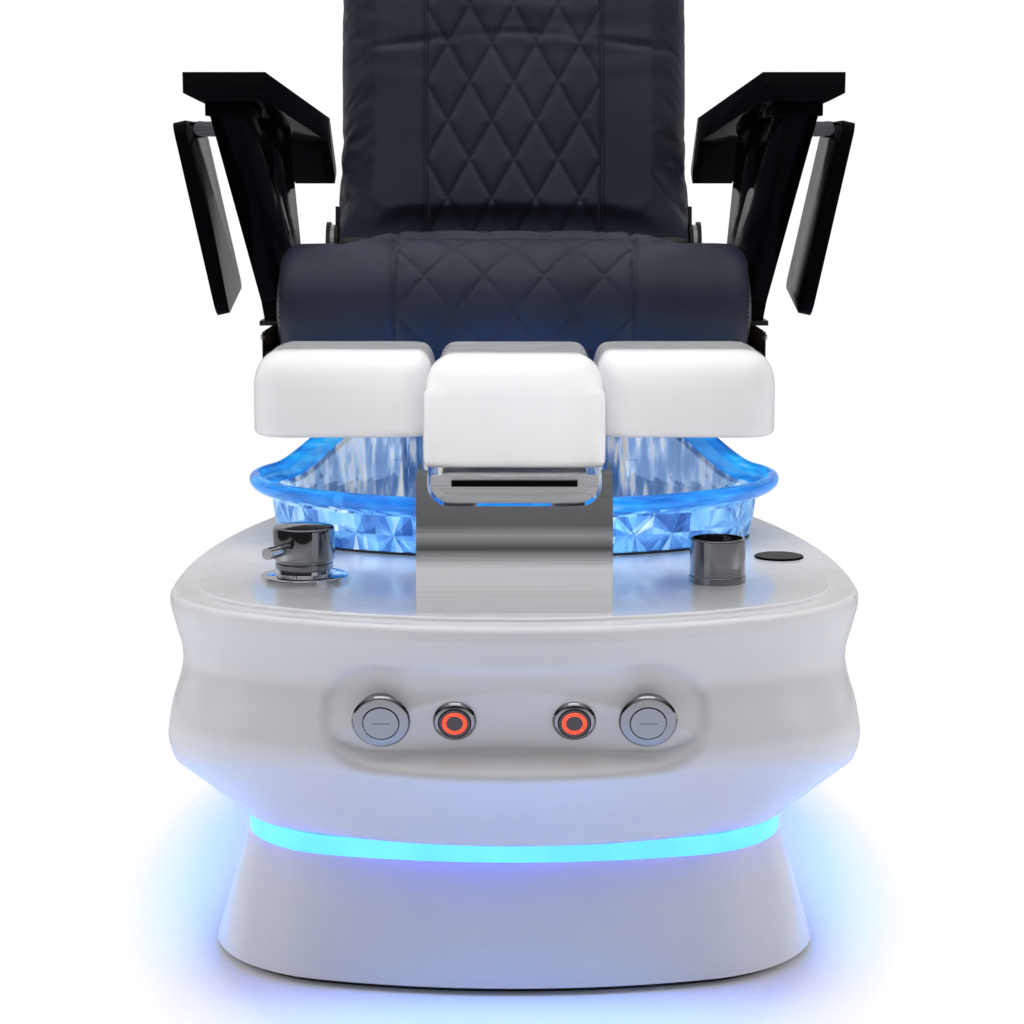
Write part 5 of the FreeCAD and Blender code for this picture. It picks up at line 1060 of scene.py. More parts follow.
@dataclass
class Basin:
    """Cut crystal bowl with a thick rolled rim that rises in a wave behind."""

    centre_y: float = 0.001495
    half_width: float = 0.32475
    half_depth: float = 0.22149
    deck: float = DECK_TOP
    deck_gap: float = 0.003
    bottom: float = 0.262
    glass: float = 0.008
    rim_lift: float = 0.077
    rim_swing: float = 0.005
    rear_rise: float = 0.061
    rise_start: float = 13.0
    rise_end: float = 42.5
    neck: float = 0.044
    shoulder: float = 0.034
    wall: float = 0.026
    flare: float = 0.024
    roll: float = 0.014
    drain_width: float = 0.25
    inner_drain_width: float = 0.27
    floor_width: float = 0.66
    foot_width: float = 0.80
    foot_height: float = 0.042
    foot_glass: float = 0.004
    neck_cut: float = 0.6
    stars: int = 32
    steps_per_star: int = 14
    star_depth: float = 0.0034
    star_height: float = 0.046
    star_cone: float = 0.30
    star_ray: float = 0.9
    star_level: float = 0.25
    rim_band: float = 0.019

    def rim_height(self, angle: np.ndarray) -> np.ndarray:
        """Height of the rim at angles round the bowl."""
        lean = np.degrees(np.arcsin(np.sin(angle)))
        wave = smoothstep((lean - self.rise_start) / (self.rise_end - self.rise_start))
        return self.deck + self.rim_lift + np.sin(angle) * self.rim_swing + wave * self.rear_rise

    def reach(self, angle: np.ndarray, inset: np.ndarray, share: np.ndarray) -> np.ndarray:
        """Distance from the bowl's axis at an angle and an inset."""
        half_x, half_y = self.half_width * share, self.half_depth * share
        return half_x * half_y / np.hypot(half_y * np.cos(angle), half_x * np.sin(angle)) - inset

    def rim_rows(self, top: float) -> list[np.ndarray]:
        """Rows of the flare above the neck's top and of the roll at its edge."""
        half_roll = self.roll / 2
        flare = self.flare - half_roll
        rows = []
        for angle in np.linspace(0.1, 1.0, 9) * math.pi / 2:
            inset, height = self.wall * (1 - math.sin(angle)), top + flare * (1 - math.cos(angle))
            rows.append(Station(inset, 1.0, 1.0, height).row())
        for angle in np.linspace(0.1, 1.0, 10) * math.pi:
            inset = half_roll * (1 - math.cos(angle))
            height = top + self.flare - half_roll * (1 - math.sin(angle))
            rows.append(Station(inset, 1.0, 1.0, height).row())
        edge = Station(self.roll, 1.0, 1.0, top + flare)
        return rows + edge.towards(Station(self.wall + self.glass, 1.0, 1.0, top), 0.15, 1.0, 4)

    def profile(self) -> np.ndarray:
        """Section of the glass from the drain over the rim and back, one station per row."""
        top = self.deck + self.deck_gap - self.bottom
        inner_neck = self.neck + self.glass
        inner_foot = self.foot_height + self.foot_glass
        drain = Station(self.neck, self.drain_width, 0.0, 0.0)
        floor = Station(self.neck, self.floor_width, 0.0, 0.0)
        foot = Station(self.neck, self.foot_width, 0.0, self.foot_height)
        neck = Station(self.neck, 1.0, 0.0, top, self.neck_cut)
        shoulder = Station(self.shoulder, 1.0, 0.0, top)
        rows = drain.towards(floor, 0.0, 1.0, 4) + floor.towards(foot, 0.15, 1.0, 4)
        rows += replace(foot, cut=self.neck_cut).towards(neck, 0.12, 1.0, 14) + [shoulder.row()]
        rows += replace(shoulder, cut=1.0).towards(Station(self.wall, 1.0, 1.0, top, 1.0), 0.02, 1.0, 17)
        rows += self.rim_rows(top)
        neck = Station(inner_neck, 1.0, 0.0, top)
        foot = Station(inner_neck, self.foot_width, 0.0, inner_foot)
        floor = Station(inner_neck, self.floor_width, 0.0, self.glass)
        drain = Station(inner_neck, self.inner_drain_width, 0.0, self.glass)
        rows += neck.towards(Station(self.wall + self.glass, 1.0, 1.0, top), 0.96, 0.0, 15)
        rows += foot.towards(neck, 0.9, 0.0, 8)
        rows += floor.towards(foot, 0.8, 0.0, 4)
        rows += drain.towards(floor, 0.7, 0.0, 3)
        return np.array(rows + rows[:1])

    def build(self, palette: Palette) -> None:
        """Make the glass bowl."""
        rows = self.profile()
        steps = len(rows) - 1

        def place(u: np.ndarray, v: np.ndarray) -> np.ndarray:
            inset, width, rise, height, depth = rows[np.rint(v * steps).astype(int)].T
            angle = u * math.tau - math.pi / 2
            room = self.rim_height(angle) - self.flare - (self.deck + self.deck_gap)
            z = self.bottom + height + rise * room
            across = np.abs(np.mod(u * self.stars, 1.0) - 0.5) * 2.0
            up = np.abs(np.mod((z - self.deck) / self.star_height, 1.0) - 0.5) * 2.0
            ray = np.minimum(np.abs(across - up), np.minimum(across, up))
            relief = self.star_cone * (across + up) + self.star_ray * ray - self.star_level
            reach = self.reach(angle, inset + self.star_depth * depth * relief, width)
            return np.column_stack([reach * np.cos(angle), self.centre_y + reach * np.sin(angle), z])

        bm = mapped_grid(self.stars * self.steps_per_star, steps, place, True)
        bmesh.ops.recalc_face_normals(bm, faces=bm.faces)
        bowl = finished(bm, "cut_crystal_bowl", [palette[Slot.CLEAR_GLASS], palette.rim_glass], 9.0)
        self.mark(bowl)
        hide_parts("glass_basin")
        place_on(bowl, Body.BASE)

    def mark(self, bowl: Object) -> None:
        """Store where each point lies in the pattern of stars, and give the rim its own glass."""
        points = mesh_points(bowl)
        angle = np.arctan2(points[:, 1] - self.centre_y, points[:, 0])
        turn = np.mod(angle / math.tau + 0.25, 1.0) * self.stars
        level = (points[:, 2] - self.deck) / self.star_height
        cuts = bowl.data.attributes.new("cuts", "FLOAT_VECTOR", "POINT")
        cuts.data.foreach_set("vector", np.column_stack([turn, level, np.zeros(len(turn))]).ravel())
        centres = measured(bowl.data.polygons, "center")
        angle = np.arctan2(centres[:, 1] - self.centre_y, centres[:, 0])
        rim = centres[:, 2] > self.rim_height(angle) - self.rim_band
        bowl.data.polygons.foreach_set("material_index", rim.astype(np.int32))


@dataclass
class Controls:
    """Domed bezels of the four push buttons."""

    panel: Panel = Panel()
    large_x: float = 0.134
    large_radius: float = 0.0295
    large_hole: float = 0.0178
    ring_x: float = 0.060
    ring_radius: float = 0.022
    ring_hole: float = 0.0158
    skirt: float = 0.012
    skirt_inset: float = 0.004

    def bezel(self, x: float, outer: float, inner: float) -> BMesh:
        """Domed ring on the leaning panel.

        Args:
            x: Sideways place of the ring.
            outer: Outer radius.
            inner: Radius of the button's hole.

        Returns:
            The ring's mesh.
        """
        lean = math.radians(self.panel.lean)
        axis = Vector((0.0, -math.cos(lean), -math.sin(lean)))
        skirt = outer - self.skirt_inset
        profile = rounded_profile([
            (inner, -self.skirt, 0), (inner, 0.0042, 0.0004), (inner + 0.0012, 0.0052, 0.0004),
            (outer - 0.0022, 0.0040, 0.0018), (outer, 0.0012, 0.0006), (outer, 0.0, 0),
            (skirt, -0.001, 0), (skirt, -self.skirt, 0), (inner, -self.skirt, 0)])
        return turned(profile, Vector((x, self.panel.y, self.panel.z)), axis, ROUND_STEPS)

    def build(self, palette: Palette) -> None:
        """Make the bezels."""
        rings = (("large_button_bezels", self.large_x, self.large_radius, self.large_hole),
                 ("ring_button_bezels", self.ring_x, self.ring_radius, self.ring_hole))
        for node, x, outer, inner in rings:
            for side in Side:
                name = f"{side.name.lower()}_{node[:-1]}"
                piece = finished(self.bezel(side.value * x, outer, inner), name, [palette.nickel_painted_grey], 35.0)
                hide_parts(node)
                place_on(piece, Body.BASE)


@dataclass
class Mixer:
    """Water mixer: stepped base, and a knob with a groove."""

    x: float = -0.229875
    y: float = -0.320045
    deck: float = DECK_TOP
    flange: float = 0.048
    step: float = 0.038
    neck: float = 0.0305
    neck_top: float = 0.012
    knob: float = 0.0335
    knob_foot: float = 0.0318
    groove: float = 0.0305
    knob_bottom: float = 0.0123
    knob_top: float = 0.0583

    def turn(self, points: Sequence[Point], name: str, material: Material) -> Object:
        """Piece turned on the mixer's axis, from radius, height above the deck and corner radius of points."""
        centre, up = Vector((self.x, self.y, self.deck)), Vector((0, 0, 1))
        return finished(turned(rounded_profile(points), centre, up, ROUND_STEPS), name, [material], 50.0)

    def build(self, palette: Palette) -> None:
        """Make the mixer's visible pieces."""
        piece = self.turn([
            (0.0, -0.004, 0), (self.flange, -0.0002, 0), (self.flange, 0.005, 0.0022),
            (self.step, 0.0062, 0.002), (self.neck, 0.0068, 0.0015),
            (self.neck - 0.0005, self.neck_top, 0.001), (0.0, self.neck_top, 0)],
            "mixer_stepped_base", palette[Slot.CHROME])
        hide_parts("mixer_valve")
        place_on(piece, Body.BASE)
        piece = self.turn([
            (0.0, self.knob_bottom, 0), (self.knob_foot, self.knob_bottom, 0.001),
            (self.knob_foot, 0.0185, 0.0006), (self.groove, 0.0192, 0.0004), (self.groove, 0.0215, 0.0004),
            (self.knob, 0.0225, 0.0008), (self.knob, self.knob_top, 0.0032), (0.0, self.knob_top + 0.0003, 0)],
            "mixer_grooved_knob", palette.chrome_painted_dark)
        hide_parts("mixer_knob")
        place_on(piece, Body.MIXER)


# Footrest


@dataclass
class FootPads:
    """Three glossy foot pads with full, rounded fronts."""

    voxel: float = 0.003
    plan_corner: float = 0.036
    edge: float = 0.009
    front_round: float = 0.036
    side_round: float = 0.032
    inner_round: float = 0.014
    saddle_half: float = 0.079
    saddle_low: float = 0.616
    apron_depth: float = 0.036
    fullness: float = 0.92
    smoothings: int = 5

    def skin(self, name: str, forms: Sequence[BMesh], palette: Palette) -> Object:
        """Join forms under one even skin.

        Args:
            name: Name of the new piece.
            forms: Closed forms that overlap.
            palette: The finishes.

        Returns:
            The new piece.
        """
        bm = bmesh.new()
        for form in forms:
            add_form(bm, form)
        piece = finished(bm, name, [palette.pad_white_painted_lighter], 0)
        remeshed(piece, self.voxel)
        return piece

    def fill(self, piece: Object, low: Vector, high: Vector, rounds: tuple[float, float]) -> None:
        """Round the top over towards the front and both ends.

        Args:
            piece: The pad.
            low: Its lowest corner.
            high: Its highest corner.
            rounds: Rounding at the low and high ends along X.
        """
        points = mesh_points(piece)
        height = high.z - low.z
        front = np.clip(1 - (points[:, 1] - low.y) / self.front_round, 0, 1) * self.front_round
        drop = np.zeros(len(points))
        for gap, size in ((points[:, 0] - low.x, rounds[0]), (high.x - points[:, 0], rounds[1])):
            end = np.clip(1 - gap / size, 0, 1) * self.front_round
            reach = np.minimum(np.hypot(front, end), self.front_round)
            drop = np.maximum(drop, self.front_round - np.sqrt(self.front_round ** 2 - reach ** 2))
        points[:, 2] = low.z + (points[:, 2] - low.z) * (height - drop * self.fullness) / height
        set_points(piece, points)
        bm = bmesh.new()
        bm.from_mesh(piece.data)
        for _ in range(self.smoothings):
            bmesh.ops.smooth_vert(bm, verts=bm.verts, factor=0.5,
                                  use_axis_x=True, use_axis_y=True, use_axis_z=True)
        bm.to_mesh(piece.data)
        bm.free()
        shaded(piece.data)

    def build(self, palette: Palette) -> None:
        """Make the three pads."""
        for side, body in ((Side.LEFT, Body.LEFT_PAD), (Side.RIGHT, Body.RIGHT_PAD)):
            node = f"{side.name.lower()}_pad"
            low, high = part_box(node)
            form = block(low, high)
            round_edges(form, lambda edge: runs_along(edge, 2), self.plan_corner, 8)
            round_edges(form, folded, self.edge, 4)
            piece = self.skin(node + "_moulded", [form], palette)
            ends = (self.side_round, self.inner_round)
            self.fill(piece, low, high, ends if side is Side.LEFT else ends[::-1])
            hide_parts(node)
            place_on(piece, body)
        low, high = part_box("centre_pad")
        apron = block(low, (high.x, low.y + self.apron_depth, high.z))
        saddle = block((-self.saddle_half, low.y + self.apron_depth / 2, self.saddle_low),
                       (self.saddle_half, high.y, high.z))
        for form in (apron, saddle):
            round_edges(form, lambda edge: True, self.edge, 4)
        piece = self.skin("centre_pad_moulded", [apron, saddle], palette)
        self.fill(piece, low, high, (self.side_round, self.side_round))
        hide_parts("centre_pad")
        place_on(piece, Body.FOOTREST)


# Upholstery

CLOTH = {"quality": 4, "mass": 0.35, "tension_stiffness": 18.0, "compression_stiffness": 14.0,
         "shear_stiffness": 6.0, "bending_stiffness": 1.2, "use_pressure": True}


@dataclass
class Quilt:
    """Diamond quilting between two seams, in a panel's own coordinates."""

    half_width: float
    columns: int
    row: float
    start: float
    puff: float
    groove: float = 0.0016
    groove_width: float = 0.0022
    seam: float = 0.0032
    seam_width: float = 0.0026
    seam_gap: float = 0.001
    reach: float = 0.021
    fullness: float = 2.2
    outside: float = 0.9
    outside_reach: float = 0.012

    def height(self, u: np.ndarray, v: np.ndarray) -> np.ndarray:
        """Height of the leather above its plain surface.

        Args:
            u: Distance across the panel from its middle.
            v: Distance along the panel.

        Returns:
            Height at each point: pillows between the seams, one even height well outside them.
        """
        pitch = 2 * self.half_width / self.columns
        a = (u + self.half_width) / pitch + (v - self.start) / self.row
        b = (u + self.half_width) / pitch - (v - self.start) / self.row
        near = np.minimum(np.abs(a - np.rint(a)), np.abs(b - np.rint(b)))
        run = near * pitch * self.row / math.hypot(pitch, self.row)
        inside = np.abs(u) < self.half_width
        edge = self.half_width - np.abs(u)
        run = np.where(inside, np.minimum(run, np.abs(edge) + self.seam_gap), run)
        pillow = self.puff * (1 - (1 - np.clip(run / self.reach, 0, 1)) ** self.fullness)
        line = -self.groove * np.exp(-((run / self.groove_width) ** 2))
        seam = -self.seam * np.exp(-((edge / self.seam_width) ** 2))
        outside = self.puff * self.outside * (1 - np.exp(-np.abs(edge) / self.outside_reach))
        return np.where(inside, pillow + line, outside) + seam


def inflated(obj: Object, cap: float, held_below: float = -1.0, pressure: float = 4.0,
             frames: int = 20) -> None:
    """Swell a soft piece like filled leather, then keep the result.

    Args:
        obj: The piece.
        cap: How far a point may move.
        held_below: Height below which the piece keeps its shape; above it the swelling sets in over 5 cm.
        pressure: Pressure inside the piece.
        frames: Steps of the simulation.
    """
    rest = mesh_points(obj)
    modifier = obj.modifiers.new("Fill", "CLOTH")
    for name, value in CLOTH.items():
        setattr(modifier.settings, name, value)
    modifier.settings.uniform_pressure_force = pressure
    modifier.settings.effector_weights.gravity = 0.0
    modifier.collision_settings.use_collision = False
    modifier.point_cache.frame_start = 1
    modifier.point_cache.frame_end = frames
    scene = bpy.context.scene
    for frame in range(1, frames + 1):
        scene.frame_set(frame)
    evaluated = obj.evaluated_get(bpy.context.evaluated_depsgraph_get())
    step = measured(evaluated.data.vertices, "co") - rest
    length = np.linalg.norm(step, axis=1, keepdims=True)
    obj.modifiers.clear()
    scene.frame_set(1)
    free = smoothstep((rest[:, 2:] - held_below) / 0.05)
    set_points(obj, rest + step * free * np.minimum(1.0, cap / np.maximum(length, 1e-9)))


def upholstered(form: BMesh, name: str, materials: Sequence[Material], voxel: float, swell: float,
                limits: Callable[[np.ndarray], np.ndarray], held_below: float = -1.0) -> Object:
    """Leather swollen by its filling, inside the room that its neighbours leave.

    Args:
        form: Plain form of the piece, smaller than its room.
        name: Name of the new piece.
        materials: Finishes of the new piece.
        voxel: Size of the skin's faces.
        swell: How far the filling may move a point.
        limits: Moves points that lie outside the room back into it.
        held_below: Height below which the form keeps its shape.

    Returns:
        The new piece.
    """
    piece = finished(form, name, materials, 60.0)
    remeshed(piece, voxel)
    inflated(piece, swell, held_below)
    set_points(piece, limits(mesh_points(piece)))
    refined(piece)
    return piece


@dataclass
class Stitching:
    """Line of small sewn stitches that lies on a soft piece."""

    length: float = 0.0042
    pitch: float = 0.0068
    radius: float = 0.00065

    def sew(self, name: str, cloth: Object, lines: Sequence[Sequence[Vector]], into: Vector,
            material: Material) -> Object:
        """Lay stitches along lines of points that are dropped onto the cloth.

        Args:
            name: Name of the new piece.
            cloth: The soft piece.
            lines: Points outside the cloth, in order along each seam.
            into: Point that the lines are dropped towards, each point at its own X.
            material: Finish of the thread.

        Returns:
            The stitches as one object.
        """
        tree = BVHTree.FromObject(cloth, bpy.context.evaluated_depsgraph_get())
        bm = bmesh.new()
        for line in lines:
            hits: list[tuple[Vector, Vector]] = []
            for point in line:
                target = Vector((point.x, into.y, into.z))
                hit, normal, _, _ = tree.ray_cast(point, (target - point).normalized())
                if hit is not None:
                    hits.append((hit, normal))
            self.lay(bm, hits)
        return finished(bm, name, [material], 60.0)

    def lay(self, bm: BMesh, hits: Sequence[tuple[Vector, Vector]]) -> None:
        """Place one stitch per pitch along points on the surface."""
        gone = 0.0
        for (start, normal), (end, _) in zip(hits, hits[1:]):
            run = end - start
            gone += run.length
            if gone < self.pitch or run.length < 1e-6:
                continue
            gone = 0.0
            along = run.normalized()
            across = normal.cross(along).normalized()
            turn = Matrix((along, across, normal)).transposed().to_4x4()
            shape = Matrix.Diagonal((self.length / 2, self.radius, self.radius, 1.0))
            place = Matrix.Translation(start + normal * self.radius * 0.4) @ turn @ shape
            bmesh.ops.create_uvsphere(bm, u_segments=6, v_segments=4, radius=1.0, matrix=place)


@dataclass
class SeatCushion:
    """Seat slab with a fat quilted roll over its front edge."""

    centre_y: float = 0.12535
    centre_z: float = 0.6803
    radius: float = 0.084
    half_width: float = 0.304
    slab_half_width: float = 0.262
    slab_end: float = 0.58335
    slab_z: float = 0.6503
    slab_top: float = 0.7473
    slab_drop: float = 0.010
    shrink: float = 0.006
    roll_edge: float = 0.022
    slab_edge: float = 0.020
    voxel: float = 0.005
    swell: float = 0.022
    end_seam_x: float = 0.2955
    end_seam: float = 0.0022
    end_seam_width: float = 0.0028
    stitch_x: tuple[float, ...] = (-0.2915, -0.1555, 0.1555, 0.2915)
    stitch_reach: float = 0.2
    quilt: Quilt = field(default_factory=lambda: Quilt(
        half_width=0.149, columns=4, row=0.098, start=-0.0033, puff=0.0018, groove=0.0014, groove_width=0.0020))

    def form(self) -> BMesh:
        """Roll and slab as two overlapping closed forms."""
        bm = bmesh.new()
        turn = Matrix.Translation((0, self.centre_y, self.centre_z)) @ Matrix.Rotation(math.pi / 2, 4, "Y")
        radius = self.radius - self.shrink
        bmesh.ops.create_cone(bm, cap_ends=True, segments=72, radius1=radius, radius2=radius,
                              depth=2 * (self.half_width - self.shrink), matrix=turn)
        round_edges(bm, lambda edge: abs(edge.verts[0].co.x - edge.verts[1].co.x) < 1e-6, self.roll_edge)
        half = self.slab_half_width - self.shrink
        slab = block((-half, self.centre_y, self.slab_z + self.shrink / 2),
                     (half, self.slab_end - self.shrink, self.slab_top - self.slab_drop))
        round_edges(slab, lambda edge: True, self.slab_edge, 4)
        add_form(bm, slab)
        return bm

    def limits(self, points: np.ndarray) -> np.ndarray:
        """Keep the swollen cushion inside the room its shell and legs leave."""
        slab = points[:, 1] > self.centre_y + self.radius
        points[slab, 2] = np.maximum(points[slab, 2], self.slab_z)
        points[slab, 0] = np.clip(points[slab, 0], -self.slab_half_width, self.slab_half_width)
        points[:, 0] = np.clip(points[:, 0], -self.half_width, self.half_width)
        points[:, 1] = np.minimum(points[:, 1], self.slab_end)
        across = np.hypot(points[:, 1] - self.centre_y, points[:, 2] - self.centre_z)
        front = points[:, 1] < self.centre_y + 0.01
        room = self.radius + 0.001
        squeeze = np.where(front & (across > room), room / np.maximum(across, 1e-9), 1.0)
        points[:, 1] = self.centre_y + (points[:, 1] - self.centre_y) * squeeze
        points[:, 2] = self.centre_z + (points[:, 2] - self.centre_z) * squeeze
        return points

    def build(self, palette: Palette) -> None:
        """Make the seat cushion with its quilting, seams and stitches."""
        leathers = [palette[Slot.BLACK_LEATHER], palette.ribbed]
        cushion = upholstered(self.form(), "seat_cushion_leather", leathers, self.voxel, self.swell,
                              self.limits)
        points, normals = mesh_points(cushion), measured(cushion.data.vertices, "normal")
        angle = np.arctan2(points[:, 2] - self.centre_z, -(points[:, 1] - self.centre_y))
        on_roll = smoothstep((self.centre_y + 0.055 - points[:, 1]) / 0.02)
        on_roll *= points[:, 2] > self.centre_z - self.radius * 0.96
        lift = self.quilt.height(points[:, 0], angle * self.radius) - self.quilt.puff
        beside = np.abs(points[:, 0]) - self.end_seam_x
        ends = -self.end_seam * np.exp(-((beside / self.end_seam_width) ** 2))
        set_points(cushion, points + normals * ((lift + ends) * on_roll)[:, None])
        self.paint(cushion)
        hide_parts("seat_cushion")
        place_on(cushion, Body.SEAT)
        self.stitch(cushion, palette)

    def paint(self, cushion: Object) -> None:
        """Give the quilted faces the ribbed leather."""
        centres = measured(cushion.data.polygons, "center")
        quilted = np.abs(centres[:, 0]) < self.quilt.half_width - 0.001
        ribbed = quilted & (centres[:, 1] < self.centre_y + 0.05)
        cushion.data.polygons.foreach_set("material_index", ribbed.astype(np.int32))
        shaded(cushion.data)

    def stitch(self, cushion: Object, palette: Palette) -> None:
        """Sew the lines beside the seams and near the roll's ends."""
        middle = Vector((0, self.centre_y, self.centre_z))
        ring = [(-self.stitch_reach * math.cos(angle), self.stitch_reach * math.sin(angle))
                for angle in np.radians(np.arange(-75.0, 120.0, 1.0))]
        lines = [[middle + Vector((x, *way)) for way in ring] for x in self.stitch_x]
        thread = Stitching().sew("seat_roll_stitches", cushion, lines, middle, palette.thread)
        place_on(thread, Body.SEAT)


@dataclass
class BackCushion:
    """Tall back cushion, leaned about the recline axis, with a quilted middle and piped seams."""

    pivot_y: float = 0.64035
    pivot_z: float = 0.7403
    lean: float = 12.0
    half_width: float = 0.264
    front: float = 0.050
    thickness: float = 0.108
    low: float = 0.002
    high: float = 0.660
    crown: float = 0.014
    shrink: float = 0.008
    top_corner: float = 0.055
    edge: float = 0.022
    voxel: float = 0.0055
    swell: float = 0.024
    pipe_radius: float = 0.0027
    pipe_step: float = 0.006
    pipe_margin: float = 0.012
    pipe_lift: float = 0.0004
    quilt: Quilt = field(default_factory=lambda: Quilt(
        half_width=0.1292, columns=4, row=0.1147, start=-0.0004, puff=0.0026, groove=0.0017,
        groove_width=0.0024, seam=0.003))

    def turn(self) -> Matrix:
        """Placement of the upright cushion."""
        pivot = Vector((0, self.pivot_y, self.pivot_z))
        return Matrix.Translation(pivot) @ Matrix.Rotation(math.radians(-self.lean), 4, "X")

    def form(self) -> BMesh:
        """Plain upright form, smaller than the room it will fill."""
        half = self.half_width - self.shrink * 0.6
        bm = block((-half, -self.front - self.crown + self.shrink + 0.006, self.low - self.shrink),
                   (half, self.thickness - self.front - 0.002, self.high - self.shrink))
        round_edges(bm, lambda edge: runs_along(edge, 1) and edge.verts[0].co.z > self.high / 2,
                    self.top_corner, 8)
        round_edges(bm, lambda edge: folded(edge) and edge.verts[0].co.z + edge.verts[1].co.z > 2.2 * self.low,
                    self.edge, 5)
        return bm

    def limits(self, points: np.ndarray) -> np.ndarray:
        """Keep the swollen cushion clear of the frame behind it and the arms beside it."""
        points[:, 1] = np.clip(points[:, 1], -self.front - self.crown - 0.004, self.thickness - self.front)
        points[:, 0] = np.clip(points[:, 0], -self.half_width, self.half_width)
        points[:, 2] = np.clip(points[:, 2], self.low, self.high)
        return points

    def wrinkles(self, u: np.ndarray, v: np.ndarray) -> np.ndarray:
        """Height of shallow drag folds across the upper back, with one deeper fold."""
        top = smoothstep((v - 0.19) / 0.12) * smoothstep((0.62 - v) / 0.08)
        waves = np.sin(v * 148 + 2.2 * np.sin(u * 9 + 0.6)) * (0.5 + 0.5 * np.sin(u * 17 + v * 21))
        deep = -0.0035 * np.exp(-(((v - 0.292 - 0.012 * np.cos(u * 12)) / 0.006) ** 2))
        return top * 0.0009 * waves + deep * (0.6 + 0.4 * np.sin(u * 38 + 1.0))

    def build(self, palette: Palette) -> None:
        """Make the back cushion with its quilting, folds and piping."""
        cushion = upholstered(self.form(), "back_cushion_leather", [palette[Slot.BLACK_LEATHER]], self.voxel,
                              self.swell, self.limits, self.low)
        points, normals = mesh_points(cushion), measured(cushion.data.vertices, "normal")
        facing = smoothstep((-normals[:, 1] - 0.55) / 0.3)
        inset = smoothstep((self.high - 0.035 - points[:, 2]) / 0.02)
        lift = (self.quilt.height(points[:, 0], points[:, 2]) - self.quilt.puff) * inset
        lift += self.wrinkles(points[:, 0], points[:, 2])
        set_points(cushion, points + normals * (lift * facing)[:, None])
        shaded(cushion.data)
        piping = self.pipe(cushion, palette)
        for piece in (cushion, piping):
            piece.data.transform(self.turn())
        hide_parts("back_cushion")
        place_on(cushion, Body.BACK)
        place_on(piping, Body.BACK)

    def pipe(self, cushion: Object, palette: Palette) -> Object:
        """Lay the two piped seams on the upright cushion."""
        tree = BVHTree.FromObject(cushion, bpy.context.evaluated_depsgraph_get())
        bm = bmesh.new()
        for side in Side:
            x = side.value * self.quilt.half_width
            previous: list[BMVert] = []
            for z in np.arange(self.low + self.pipe_margin, self.high - self.pipe_margin, self.pipe_step):
                hit, _, _, _ = tree.ray_cast(Vector((x, -0.3, z)), Vector((0, 1, 0)))
                if hit is None:
                    continue
                place = Matrix.Translation(hit - Vector((0, self.pipe_lift, 0)))
                ring = bmesh.ops.create_circle(bm, segments=10, radius=self.pipe_radius,
                                               matrix=place)["verts"]
                if previous:
                    edges = [edge for group in (previous, ring) for vert in group for edge in vert.link_edges
                             if all(other in group for other in edge.verts)]
                    bmesh.ops.bridge_loops(bm, edges=list(set(edges)))
                previous = ring
        return finished(closed(bm), "back_seam_piping", [palette[Slot.BLACK_LEATHER]], 60.0)


@dataclass
class HeadPillow:
    """Small head pillow on the upper back."""

    back: BackCushion = field(default_factory=BackCushion)
    half_width: float = 0.165
    low: float = 0.480
    high: float = 0.630
    rear: float = -0.0503
    thickness: float = 0.058
    shrink: float = 0.008
    edge: float = 0.022
    voxel: float = 0.005
    swell: float = 0.012

    def limits(self, points: np.ndarray) -> np.ndarray:
        """Keep the swollen pillow in front of the back cushion, and no thicker than it should be."""
        points[:, 1] = np.clip(points[:, 1], self.rear - self.thickness, self.rear)
        return points

    def build(self, palette: Palette) -> None:
        """Make the pillow."""
        half = self.half_width - self.shrink
        form = block((-half, self.rear - self.thickness + 0.010, self.low + self.shrink),
                     (half, self.rear - 0.001, self.high - self.shrink))
        round_edges(form, lambda edge: True, self.edge, 5)
        pillow = upholstered(form, "head_pillow_leather", [palette[Slot.BLACK_LEATHER]], self.voxel, self.swell,
                             self.limits)
        shaded(pillow.data)
        pillow.data.transform(self.back.turn())
        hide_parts("head_pillow")
        place_on(pillow, Body.BACK)


# Arms and trays


@dataclass
class Arms:
    """Lacquered arm boards, leg frames and swing-up trays with eased edges."""

    board_edge: float = 0.0058
    leg_edge: float = 0.0035
    tray_edge: float = 0.004

    def build(self, palette: Palette) -> None:
        """Ease the edges of both sides."""
        for side, tray_body in (("left", Body.LEFT_TRAY), ("right", Body.RIGHT_TRAY)):
            for part, body, width in (("arm_board", Body.SEAT, self.board_edge),
                                      ("arm_legs", Body.SEAT, self.leg_edge),
                                      ("tray", tray_body, self.tray_edge)):
                node = f"{side}_{part}"
                piece = softened(node, node + "_lacquered", [palette[Slot.BLACK_GLOSS]], width)
                place_on(piece, body)


# Studio


@dataclass(frozen=True)
class Lamp:
    """Rectangular soft lamp aimed at a point, unseen by the camera.

    Mirrored says whether it shows in glossy surfaces. Spread is the angle of its beam in degrees.
    """

    name: str
    place: Point
    target: Point
    size: tuple[float, float]
    power: float
    colour: Colour = WHITE
    mirrored: bool = False
    spread: float = 180.0

    def hang(self) -> None:
        """Put the lamp into the scene."""
        data = bpy.data.lights.new(self.name, "AREA")
        data.shape = "RECTANGLE"
        data.size, data.size_y = self.size
        data.energy = self.power
        data.color = self.colour
        data.spread = math.radians(self.spread)
        lamp = bpy.data.objects.new(self.name, data)
        lamp.location = self.place
        lamp.visible_glossy = self.mirrored
        lamp.visible_camera = False
        lamp.visible_transmission = False
        lamp.rotation_euler = (Vector(self.target) - Vector(self.place)).to_track_quat("-Z", "Y").to_euler()
        bpy.context.scene.collection.objects.link(lamp)


